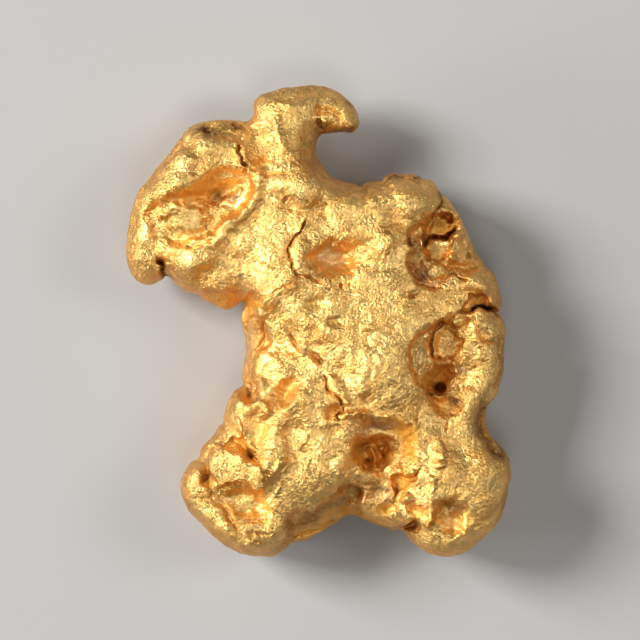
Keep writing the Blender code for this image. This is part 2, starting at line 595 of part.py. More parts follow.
def wear_flat(obj):
    """Cuts what is below the table off the lowest lumps, and closes each cut with a flat face."""
    body = bmesh.new()
    body.from_mesh(obj.data)
    everything = [*body.verts, *body.edges, *body.faces]
    table = {"plane_co": (0, 0, 0), "plane_no": (0, 0, 1)}
    bmesh.ops.bisect_plane(body, geom=everything, clear_inner=True, **table)
    bmesh.ops.holes_fill(body, edges=[edge for edge in body.edges if edge.is_boundary])
    bmesh.ops.triangulate(body, faces=[face for face in body.faces if len(face.verts) > 3])
    body.to_mesh(obj.data)
    body.free()


def add_nugget():
    """The nugget as one closed mesh: the form's surface, thinned and worn flat where it rests."""
    field, start = nugget_field()
    grid = openvdb.FloatGrid(background=1.0)
    grid.copyFromArray(np.ascontiguousarray(-field, np.float32))
    points, quads = grid.convertToQuads(isovalue=0.0)
    points = points * cell + start
    place = np.empty(points.shape)
    place[:, 0] = (points[:, 0] - sheet_middle[0]) * unit
    place[:, 1] = (sheet_middle[1] - points[:, 1]) * unit
    place[:, 2] = (points[:, 2] - wear_depth) * unit
    mesh = bpy.data.meshes.new("nugget")
    mesh.from_pydata(place.tolist(), [], quads[:, ::-1].tolist())
    obj = bpy.data.objects.new("nugget", mesh)
    bpy.context.scene.collection.objects.link(obj)
    thin_out(obj)
    wear_flat(obj)
    add_material(obj)


def main():
    for old in list(bpy.data.objects):
        bpy.data.objects.remove(old)
    add_nugget()


main()
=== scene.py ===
import bmesh
import bpy
import numpy as np
import openvdb
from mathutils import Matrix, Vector


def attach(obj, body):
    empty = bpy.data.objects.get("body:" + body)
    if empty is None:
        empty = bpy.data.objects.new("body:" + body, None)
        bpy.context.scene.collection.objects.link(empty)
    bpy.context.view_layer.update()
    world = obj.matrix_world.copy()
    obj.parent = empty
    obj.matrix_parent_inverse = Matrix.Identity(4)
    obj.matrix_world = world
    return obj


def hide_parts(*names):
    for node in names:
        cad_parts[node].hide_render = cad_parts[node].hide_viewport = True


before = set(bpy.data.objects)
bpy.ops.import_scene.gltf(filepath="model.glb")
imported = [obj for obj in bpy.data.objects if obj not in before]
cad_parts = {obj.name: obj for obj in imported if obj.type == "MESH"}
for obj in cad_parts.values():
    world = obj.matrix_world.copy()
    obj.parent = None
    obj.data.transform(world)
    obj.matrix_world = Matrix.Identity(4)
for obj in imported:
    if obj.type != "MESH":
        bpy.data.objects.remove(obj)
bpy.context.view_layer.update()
print("frame loaded")

# The nugget's face is drawn on a sheet, x to the right and y down. Heights are in the same units, up from
# the lowest lumps of the back.
shape = {
    "length": 0.0235,  # metres
    "sheetLength": 470.5,  # the same on the sheet, from the crown of the hook to the soles
    "sheetMiddle": (319.0, 321.0),  # the sheet point over the frame's origin
    "across": (127, 512),  # what the form takes up of the sheet
    "down": (85, 557),
    "heights": (-24, 150),
    "step": 1.3,  # sampling step of the form, in sheet units
    "coarseStep": 4.0,  # and of the random lumps and the side lumps
    "triangles": 186000,
    "lobeSpread": 1.3,  # how far a lobe blends into the next, in times its reach
    "leastFront": 5,  # the face stays so far over the girth, and the back so far under it
    "leastBack": 8,
    "wearDepth": 2.6,  # how much of the lowest lumps is worn flat
    "dish": (0.8, 0.4, 12.0),  # share of a patch's rise at its edge, what is added inward, and how far in
    "lineEnds": (0.12, 0.35),  # share of a line that each end takes to fade, and what is left at its tip
    "wanders": {28.0: 0.9, 11.0: 0.6},  # how far the forms' edges stray, by the length this repeats over
    "swells": {70.0: 3.4, 30.0: 1.5},  # height of the random lumps, by the length they repeat over
    "frontShare": 0.5,  # how much of the random lumps the face has
}
unit = shape["length"] / shape["sheetLength"]


# Numbers in a row, taken two by two as points
def pairs(*numbers):
    return list(zip(numbers[::2], numbers[1::2]))


# The outline seen from above, clockwise from the crown of the hook
outlinePoints = pairs(
    301, 86.5, 316, 85.5, 331, 89.5, 343, 96.5, 352, 104.5, 357.5, 114, 359.5, 122, 358, 128, 353.5, 132,
    341, 132.5, 328, 133, 320.5, 134.5, 317, 139.5, 314.8, 148, 314, 156, 318, 163, 325, 170, 333, 177,
    343, 182, 354, 184, 360, 186.5, 366, 183, 374, 182, 381.5, 181, 385, 176, 392, 173.5, 401, 175.5,
    410, 174, 418, 176.5, 424, 179.5, 431, 180, 436, 185.5, 441, 192.5, 447.5, 198, 453.5, 207, 460, 217.5,
    464.5, 228, 469.5, 240, 475.5, 250, 480, 257.5, 486.5, 266.5, 493.5, 274, 497.5, 284, 500.5, 295,
    501, 304, 499.5, 310.5, 496.5, 313, 501, 316, 504, 323, 505.8, 332, 504.5, 345, 503.5, 360, 502.5, 374,
    499.5, 386, 494.5, 395, 489, 403, 486, 410, 484.8, 418, 486, 428, 490, 436, 496.5, 443, 502.5, 449.5,
    507.5, 456, 510.5, 465, 511.5, 476, 508.5, 487, 506.5, 498, 503, 510, 498.5, 520, 492, 528, 483.5, 536,
    474, 545, 465, 551, 455, 555, 447, 556.5, 436, 555.5, 426, 552, 417, 547, 409, 540, 404, 532.5,
    398.5, 529.5, 393, 530, 385, 528.5, 374, 525, 363, 520, 355, 517, 348, 516, 342.5, 519, 335, 524,
    326, 529, 315, 536, 308, 540, 298, 542, 290, 545, 283, 551, 274, 555, 262, 556, 252, 555.5, 243, 553.5,
    232, 549, 222, 543, 213, 535, 204, 527, 196, 519, 188, 510.5, 183, 500, 180.3, 488, 181.8, 477,
    187, 468, 193, 461.5, 198.5, 458.5, 201.5, 449, 208, 441, 215, 434, 218.5, 427, 223, 423.5, 224, 415,
    226.5, 407, 229, 400, 234, 392, 239.5, 387.5, 242.5, 385, 242, 378, 242.5, 370, 244, 362, 246, 354,
    246, 345, 245, 335, 242.5, 329, 241, 320, 241.5, 312, 243.5, 306, 241, 301.5, 236, 306, 230, 309.5,
    223, 309, 216, 306, 208, 302, 201, 298, 196.5, 293.5, 189, 292, 181, 288, 174, 282, 170, 277.8,
    166, 276.3, 163, 279.5, 157, 282, 149, 284.5, 141, 283, 135, 278, 130, 270, 127.3, 260, 127, 248,
    128, 235, 131, 218, 135, 204, 140, 192, 149, 181, 156, 170, 163, 161, 171, 152, 176, 145, 181, 139,
    184.5, 133.5, 190, 128.5, 198, 125, 208, 122.5, 220, 121, 232, 121, 245, 123, 251, 120, 254, 114,
    254, 106, 256, 100, 263, 95, 272, 92, 280, 89, 290, 87.5,
)

# The swellings of the body: x, y and reach, then the heights of its front, widest girth and back, and how
# far the front and the back edge round in
lobes = {
    "head": (186, 186, 46, 118, 70, 14, 40, 38),
    "finger": (142, 250, 24, 94, 54, 30, 20, 20),
    "chin": (206, 264, 32, 108, 50, 8, 30, 26),
    "hookStem": (284, 130, 30, 104, 70, 36, 26, 24),
    "hookTip": (338, 112, 24, 90, 68, 44, 20, 18),
    "upperBody": (335, 205, 50, 126, 60, 6, 26, 44),
    "shoulder": (420, 196, 32, 112, 76, 20, 24, 38),
    "rightBrow": (474, 280, 30, 108, 56, 26, 24, 26),
    "rightCheek": (486, 350, 34, 104, 70, 14, 26, 34),
    "rightWaist": (458, 425, 28, 110, 52, 20, 22, 30),
    "rightFoot": (458, 500, 46, 120, 66, -9, 36, 42),
    "middle": (350, 320, 60, 130, 62, 6, 28, 44),
    "leftWaist": (252, 350, 28, 102, 46, 24, 18, 24),
    "lowerMiddle": (310, 452, 48, 128, 60, 14, 26, 40),
    "leftFoot": (218, 494, 44, 108, 62, -11, 30, 38),
    "apron": (374, 506, 30, 92, 46, 22, 18, 24),
    "soleFold": (318, 528, 20, 90, 44, 18, 14, 22),
}


# A round lump at x, y, or a hollow where rise is negative; flat is the share of it that is level
def dome(x, y, wide, tall, rise, turn=0, flat=0.0):
    return {"kind": "dome", "points": [(x, y)], "reach": max(wide, tall), "size": (wide, tall), "rise": rise,
            "turn": turn, "flat": flat}


# Domes that share their flatness, each row with its place, size, strength and turn
def patches(flat, rows):
    return [dome(*row, flat=flat) for row in rows]


# A ridge along a line, or a groove where rise is negative
def path(width, rise, *line):
    return {"kind": "path", "points": pairs(*line), "reach": 3 * width + 2, "width": width, "rise": rise}


# A patch raised or sunk inside a closed line, with a bank as wide as edge, and leaning by tilt
def plate(edge, rise, *line, tilt=(0, 0)):
    return {"kind": "plate", "points": pairs(*line), "reach": edge + 6, "edge": edge, "rise": rise,
            "tilt": tilt}


head = [
    dome(181, 156, 28, 18, 8, -50), dome(158, 186, 20, 14, 5, -62),
    path(8, -3, 192, 176, 214, 161, 236, 154),
    plate(5, -24, 203, 110, 205, 137, 214, 139, 228, 141.5, 243, 142, 249, 130, 252, 110),
    plate(14, -11, 163, 202, 178, 194, 196, 185, 214, 176, 232, 169, 247, 173, 253, 184, 252, 200, 242, 212,
        228, 222, 216, 236, 196, 244, 178, 247, 160, 240, 150, 222, 152, 208),
    dome(222, 194, 27, 17, -12, 22, flat=0.1), dome(216, 197, 9, 10, -6), dome(186, 199, 28, 7, -8, 12),
    plate(8, 3.5, 166, 206, 182, 206, 198, 209, 206, 216, 203, 228, 190, 235, 172, 234, 163, 224,
        tilt=(0.1, -0.05)), path(2.2, -3, 166, 206, 178, 204, 192, 206, 203, 211),
    path(3, 5, 229, 203, 236, 197, 242, 189), dome(163, 216, 6, 7, 6), dome(209, 217, 6, 5, 5),
    path(8, 5, 257, 172, 256, 194, 244, 212, 229, 224, 217, 238, 197, 247, 181, 251),
    path(5, -6, 142, 220, 151, 210, 161, 204), path(4.5, -6, 250, 171, 257, 166, 267, 162),
]
finger = [
    path(9, 6, 139, 210, 134, 232, 140, 264), path(4, -3, 154, 226, 157, 240, 159, 252),
    path(1.7, -22, 160, 258, 163, 269, 164, 281), path(3.5, 4, 166, 257, 169, 267),
]
chin = [
    dome(186, 268, 36, 18, 7, 20),
    plate(4, -30, 176, 291, 196, 292.5, 210, 291, 226, 290.5, 240, 292, 256, 299, 246, 320, 190, 320),
]
hook = [
    path(11, -7, 255, 126, 258, 146, 262, 164), path(16, 5, 292, 100, 296, 130, 298, 158),
    path(5, 5.5, 275, 118, 280, 139, 286, 157), path(0.8, -9, 239.5, 147, 241.7, 155, 243, 162, 246, 168),
    plate(5, -10, 250, 82, 254, 105, 264, 97, 275, 100, 288, 103.5, 300, 99, 312, 93, 320, 78),
    path(3.4, -6, 316, 108, 324, 110, 332, 113, 340, 121), dome(325.5, 124.5, 5.5, 7, 6),
    path(2.0, -10, 317.5, 121, 318, 127, 321, 133),
]
upperBody = [
    path(7, -4, 286, 201, 304, 212, 328, 210), dome(306, 188, 34, 17, 4), dome(366, 206, 30, 18, 4, -10),
    dome(388, 184, 13, 6, 5), dome(414, 200, 27, 25, 8, flat=0.35),
    path(1.1, -9, 436, 188, 438.5, 199, 438, 211, 432, 220),
    plate(4, -10, 440, 182, 439, 200, 438, 214, 446, 221, 458, 222, 472, 226, 458, 188),
]
browPit = [
    plate(9, -12, 434, 216, 446, 215, 456, 220, 462, 232, 468, 246, 475, 258, 479, 268, 462, 273, 450, 273,
        443, 280, 436, 288, 424, 286, 417, 282, 409, 270, 408, 256, 411, 246, 409, 236, 414, 227, 424, 219),
    plate(6, -19, 430, 218, 444, 216, 455, 221, 457, 229, 449, 238, 449, 250, 444, 258, 434, 260, 424, 256,
        421, 246, 423, 231),
    plate(4, 9, 428, 236, 430, 225, 440, 219, 452, 222, 456, 226, 449, 233, 443, 237, 434, 238,
        tilt=(0, 0.3)),
    path(1.0, -12, 424.5, 247, 427.3, 240, 436.4, 239, 444, 239.2, 449, 233.8, 456, 229),
    plate(4, 15, 424, 249, 431, 241, 444, 241, 449, 238, 450, 246, 446, 254, 439, 259, 430, 258,
        tilt=(0.1, -0.2)), path(3.2, 7, 425, 231, 420, 240, 419.5, 251), dome(420, 273, 12, 9, -7, -40),
    plate(2.5, 11, 427, 271, 431, 266, 438, 265, 444, 270, 442, 277, 435, 280, 429, 277, tilt=(0.1, 0)),
    dome(458, 237, 8, 10, 10), dome(451.5, 258, 5, 8, 9), dome(468, 254.5, 4, 3, -7),
    path(4.5, -8, 446, 268, 462, 268.5, 483, 267),
]
brow = [
    dome(478, 284, 28, 14, 8, -15), dome(455, 288, 18, 9, 4),
    plate(3.5, -16, 461, 310, 464, 302, 471, 296, 481, 293.5, 488, 297, 491, 304, 494, 311, 480, 306.5,
        470, 312),
    path(1.3, -36, 470, 310.5, 474, 306.5, 479, 305, 485, 307, 489, 310, 495, 312.5, 502, 313.5),
    dome(495, 302, 8, 9, 3),
]
cheek = [
    plate(3, 4, 473, 316, 479, 311, 490, 312, 502, 317, 505, 328, 503, 338, 494, 343, 484, 341, 477, 334),
    path(1.6, -4, 472.5, 316, 474, 326, 478, 335, 484, 341, 493, 343.5, 502, 339),
    dome(483, 333, 11, 8, -4, -40), dome(489, 322, 9, 7, 3), dome(463, 372, 28, 42, -9),
    plate(10, -9, 451, 316, 464, 318, 470, 326, 467, 340, 462, 352, 459, 366, 461, 380, 466, 392, 465, 400,
        460, 409, 450, 414, 441, 411, 433, 403, 425, 392, 416, 383, 411, 373, 409, 360, 411, 346, 415, 338,
        427, 329, 441, 322),
    plate(6, -9, 443, 322, 454, 325, 462, 334, 461, 348, 453, 357, 441, 361, 433, 359, 430, 348, 431, 336,
        436, 328), path(1.1, -10, 444, 321.5, 436.5, 328, 431.5, 336.5, 430.6, 348, 432.3, 360),
    path(1.5, -4, 411, 345, 410, 356, 411, 368), path(1.6, -4, 413, 340, 428, 330.5, 442, 322),
    dome(439, 379, 18, 20, -22, -20, flat=0.2), dome(439, 388, 7, 9, -15, -35, flat=0.2),
    path(2.2, 8, 450.5, 363, 453, 368, 456.5, 375), dome(455, 402, 9, 8, -6),
    plate(2, 5, 452, 322, 458, 316, 464, 315, 464, 323, 458, 327, tilt=(-0.15, 0.1)),
]
waistRight = [
    plate(4, -24, 502, 396, 488, 405, 481, 413, 478.5, 422, 480.5, 434, 487, 444, 495, 451, 506, 457,
        518, 460, 522, 430, 512, 396), path(3.2, -14, 486, 403, 478.5, 418, 480.5, 433, 491, 447, 505, 458),
]
heartPit = [
    dome(386, 448, 44, 38, -12, -15, flat=0.3), dome(407, 442, 13, 26, -5, 5),
    dome(375, 451, 26, 19, -20, 8, flat=0.4), dome(374, 427, 28, 10, -5, -3), dome(381, 450, 5, 8.5, 14),
    path(2.8, 11, 369.5, 445, 372, 455, 375, 465), dome(364, 460, 6, 4.5, -8, -30),
    path(5, 4, 356, 470, 366, 472, 378, 473), path(3.4, 6, 345, 413.5, 356, 413, 366, 415.5),
    path(3, 3, 364, 414, 380, 415, 395, 416, 409, 420.5, 417, 430),
    plate(9, 3, 394, 424, 408, 424, 416, 432, 419, 446, 418, 458, 406, 464, 398, 460, 396, 444,
        tilt=(0.15, 0)),
    plate(2.5, 5, 402, 456, 410, 453, 416, 458, 418, 466, 412, 473, 404, 473, 399, 466, tilt=(-0.2, 0)),
    plate(4, -12, 418, 470, 405, 473, 392, 477, 392, 491, 399, 490, 409, 483, 418, 477),
    path(1.1, -4, 393.5, 486, 394, 494, 396, 503),
    plate(6, 3, 426, 441, 438, 439, 443, 451, 440, 466, 428, 465, tilt=(0.45, 0.1)),
    dome(406, 497, 9, 8, 8),
]
apron = [
    dome(386, 508, 14, 9, -8, 15), dome(378, 490, 12, 13, -5), path(6, 3, 398, 505, 406, 513, 411, 522),
    path(7, 2.5, 352, 488, 360, 504, 362, 518),
]
rightFoot = [
    dome(452, 476, 54, 30, 6), dome(450, 516, 27, 25, -14, 25), dome(446, 503, 13, 9, -6, 20),
    path(2.6, 4, 434, 474, 431, 487, 430.7, 500, 430.5, 513, 426, 527), dome(415, 510, 13, 10, -7),
    dome(484, 507, 10, 14, 5), path(2.8, -60, 395, 532, 405, 527, 415, 521.5),
    plate(2.4, -14, 408, 526, 416, 521.5, 418.5, 526, 413, 531, 407, 531),
    path(8, 4, 422, 541, 440, 547, 460, 543, 480, 528),
]
middle = [
    path(7, 7, 256, 318, 260, 306, 270, 296, 283, 288, 298, 283), dome(384, 362, 62, 60, 9, 10),
    path(5, 6, 330, 375, 334, 386, 341, 394, 348, 402), dome(316, 302, 16, 10, -4),
    dome(272, 303, 15, 8, 4, 35), dome(336, 322, 17, 9, -5, 10), dome(314, 331, 9, 10, -4),
    dome(368, 327, 11, 9, 4), dome(314, 357, 14, 6, -8, -42), dome(319.5, 362.5, 6, 3.5, -6, -48),
    path(1.6, -6, 290, 334, 293, 340, 295.5, 347), path(0.9, -7, 323, 375, 328, 389, 335.7, 396, 340, 401),
    path(1.0, -10, 339, 399.5, 344.6, 407, 343, 412, 338, 415, 339, 420), dome(332, 410, 13, 11, -8, -20),
    dome(338, 409, 7, 8, -6), dome(316, 408, 10, 18, -2), dome(402, 300, 30, 16, 3),
]
fold = [
    path(1.0, -10, 306, 221, 300.6, 232, 291, 243, 288.6, 255, 291.2, 267, 298, 278),
    path(1.3, -5, 297, 279, 291, 283, 285, 286, 275, 292, 260, 299), dome(343, 258, 58, 26, -9, -4),
    dome(330, 260, 29, 22, -9, flat=0.3), path(9, 5, 392, 237, 380, 248, 364, 259, 350, 270),
    dome(303, 257, 17, 27, 7),
]
waistLeft = [
    plate(5, -18, 243, 299, 262, 299, 257, 312, 262, 322, 270, 331, 270, 345, 259, 353, 255, 366,
        256.6, 385, 259, 398, 250, 403, 236, 386, 230, 340), dome(256, 323, 9, 15, 6),
    path(2.4, -5, 250, 355, 251, 372, 250, 387), path(1.9, -11, 244, 383, 249, 390, 252, 398),
]
knuckle = [
    dome(279, 364, 26, 20, 10, -15), dome(286, 392, 25, 13, -13, 48),
    path(8, 2, 311, 377, 308, 390, 298, 401, 286, 412, 277, 428, 269, 447), dome(262, 384, 7, 12, 3),
    plate(5, 4, 254, 402, 262, 399, 271, 407, 268, 416, 258, 414, tilt=(0.3, 0.1)),
]
shin = [
    plate(3, 4, 231, 420, 239, 418, 244, 427, 242, 436, 234, 433, tilt=(0.35, 0)), dome(237, 400, 8, 10, 4),
    plate(10, -4, 248, 414, 260, 411, 268, 420, 265, 436, 258, 446, 250, 440, 247, 428),
    path(6.5, -10, 230, 436, 239, 442, 248, 449, 255, 456), dome(254, 456, 8, 4.5, -6, -42),
    path(4, 3, 250, 443, 256, 449, 262, 455), path(6, 4, 269, 447, 268, 458, 266, 471),
]
leftFoot = [
    path(9, 9, 203, 463, 190, 474, 187, 490, 197, 507, 211, 521, 229, 536, 247, 546, 264, 549),
    path(2.6, -5, 199, 459, 208, 462.5, 209, 472, 205, 479, 210, 487, 218, 498, 226, 508.5, 232, 518,
        237, 524, 241, 527), dome(206.5, 477, 5, 12, -3), dome(229, 512, 13, 6, -2.5, -52),
    plate(6, 9, 212, 452, 222, 444, 240, 453, 258, 463, 265, 476, 260, 489, 250, 483, 234, 481, 217, 483,
        211, 472), dome(247, 502, 31, 18, -9, -5, flat=0.3), dome(273, 504, 10, 12, 3),
    dome(256, 532, 14, 3.5, -2), dome(190, 505, 4, 5, -6, 30),
]
sole = [
    plate(8, -28, 284, 564, 287, 532, 289, 513, 301, 508.5, 312, 510, 323, 502, 336, 490, 350, 484.5,
        358, 487, 361, 500, 358, 526, 340, 564), path(2.8, 8, 290, 542.5, 313, 537, 331, 527.5, 344, 520.5),
    dome(349, 505, 9, 7, 7),
]
lowerMiddle = [
    path(2.2, 3, 267, 480, 280, 464, 294, 450), dome(332, 429, 14, 9, -4), dome(338, 458, 12, 18, 4),
    path(4, -4, 322, 498, 336, 487, 350, 481),
]
frontRelief = [
    *head, *finger, *chin, *hook, *upperBody, *browPit, *brow, *cheek, *waistRight, *heartPit, *apron,
    *rightFoot, *middle, *fold, *waistLeft, *knuckle, *shin, *leftFoot, *sole, *lowerMiddle,
]

# The back, seen through the front: high values stand out from the back of the nugget
backRelief = [
    dome(196, 196, 50, 40, 10, -30), dome(216, 222, 24, 16, -17, -20),
    path(6, -9, 158, 244, 176, 226, 188, 204, 186, 176, 196, 150), dome(160, 196, 13, 10, -8, 50),
    dome(300, 132, 18, 30, 6), path(6, -12, 256, 168, 274, 176, 292, 188, 320, 178),
    dome(372, 232, 54, 36, 12, 12), dome(350, 224, 30, 17, -20, 30), dome(362, 232, 12, 9, -9),
    dome(398, 212, 12, 8, -11, -20), path(5.5, -14, 396, 276, 418, 262, 440, 240, 446, 216, 456, 200),
    dome(290, 332, 44, 44, 8, 20),
    path(4.5, -13, 240, 300, 268, 286, 300, 286, 326, 298, 340, 322, 344, 352),
    dome(290, 336, 24, 16, -18, 55), dome(300, 322, 9, 7, -8), dome(426, 334, 44, 36, 9),
    dome(436, 346, 28, 17, -19, -35), dome(424, 356, 11, 9, -9), dome(408, 314, 8, 7, -10),
    dome(478, 318, 12, 15, -10), path(5.5, -14, 352, 366, 378, 380, 394, 398, 424, 404, 452, 398, 484, 392),
    dome(370, 442, 34, 28, -20, 20), dome(376, 440, 13, 9, 10, 30), dome(352, 456, 14, 10, -8),
    dome(456, 490, 40, 36, 8), dome(472, 470, 20, 13, -14, 35),
    path(4.5, -10, 420, 508, 436, 524, 458, 528, 482, 516), dome(236, 482, 42, 34, 8),
    dome(252, 460, 24, 14, -16, -35), path(5, -12, 204, 510, 226, 520, 252, 512, 270, 496, 290, 468),
    dome(318, 436, 30, 34, 9), dome(310, 476, 14, 9, -10, 40),
    plate(8, -10, 262, 392, 300, 378, 330, 384, 318, 404, 284, 416, 258, 408),
]

# Knobs and bites on the sides, between the face and the back: x, y, height, three radii and the rise
sideLumps = [
    (150, 190, 46, 16, 18, 14, 7), (134, 222, 86, 14, 14, 9, -6), (170, 150, 88, 15, 12, 9, -7),
    (196, 126, 40, 18, 10, 12, 6), (252, 108, 50, 9, 14, 8, -5), (330, 92, 52, 14, 8, 7, -5),
    (318, 158, 44, 12, 16, 12, 6), (372, 186, 40, 22, 9, 12, -9), (404, 178, 50, 14, 9, 9, 5),
    (452, 206, 42, 12, 14, 12, -8), (470, 240, 78, 11, 16, 10, 5), (494, 282, 38, 10, 12, 11, 7),
    (500, 326, 40, 10, 12, 13, -9), (502, 366, 52, 9, 14, 10, 5), (492, 396, 84, 12, 10, 8, 5),
    (480, 420, 30, 13, 15, 12, -8), (508, 478, 34, 11, 16, 12, -8), (490, 524, 92, 14, 12, 10, 5),
    (440, 552, 36, 18, 10, 13, -9), (398, 528, 30, 14, 9, 10, 6), (352, 516, 34, 18, 10, 10, -7),
    (306, 538, 66, 16, 9, 8, -5), (262, 552, 30, 18, 10, 12, -8), (212, 530, 84, 13, 12, 8, 4),
    (184, 492, 34, 11, 18, 13, 6), (206, 444, 40, 14, 12, 12, -8), (234, 396, 70, 10, 14, 9, 5),
    (244, 352, 24, 9, 18, 9, -7), (240, 318, 60, 9, 10, 8, -5), (206, 300, 34, 18, 9, 10, -8),
    (166, 280, 66, 9, 10, 8, -5), (132, 256, 40, 10, 16, 9, -5),
]

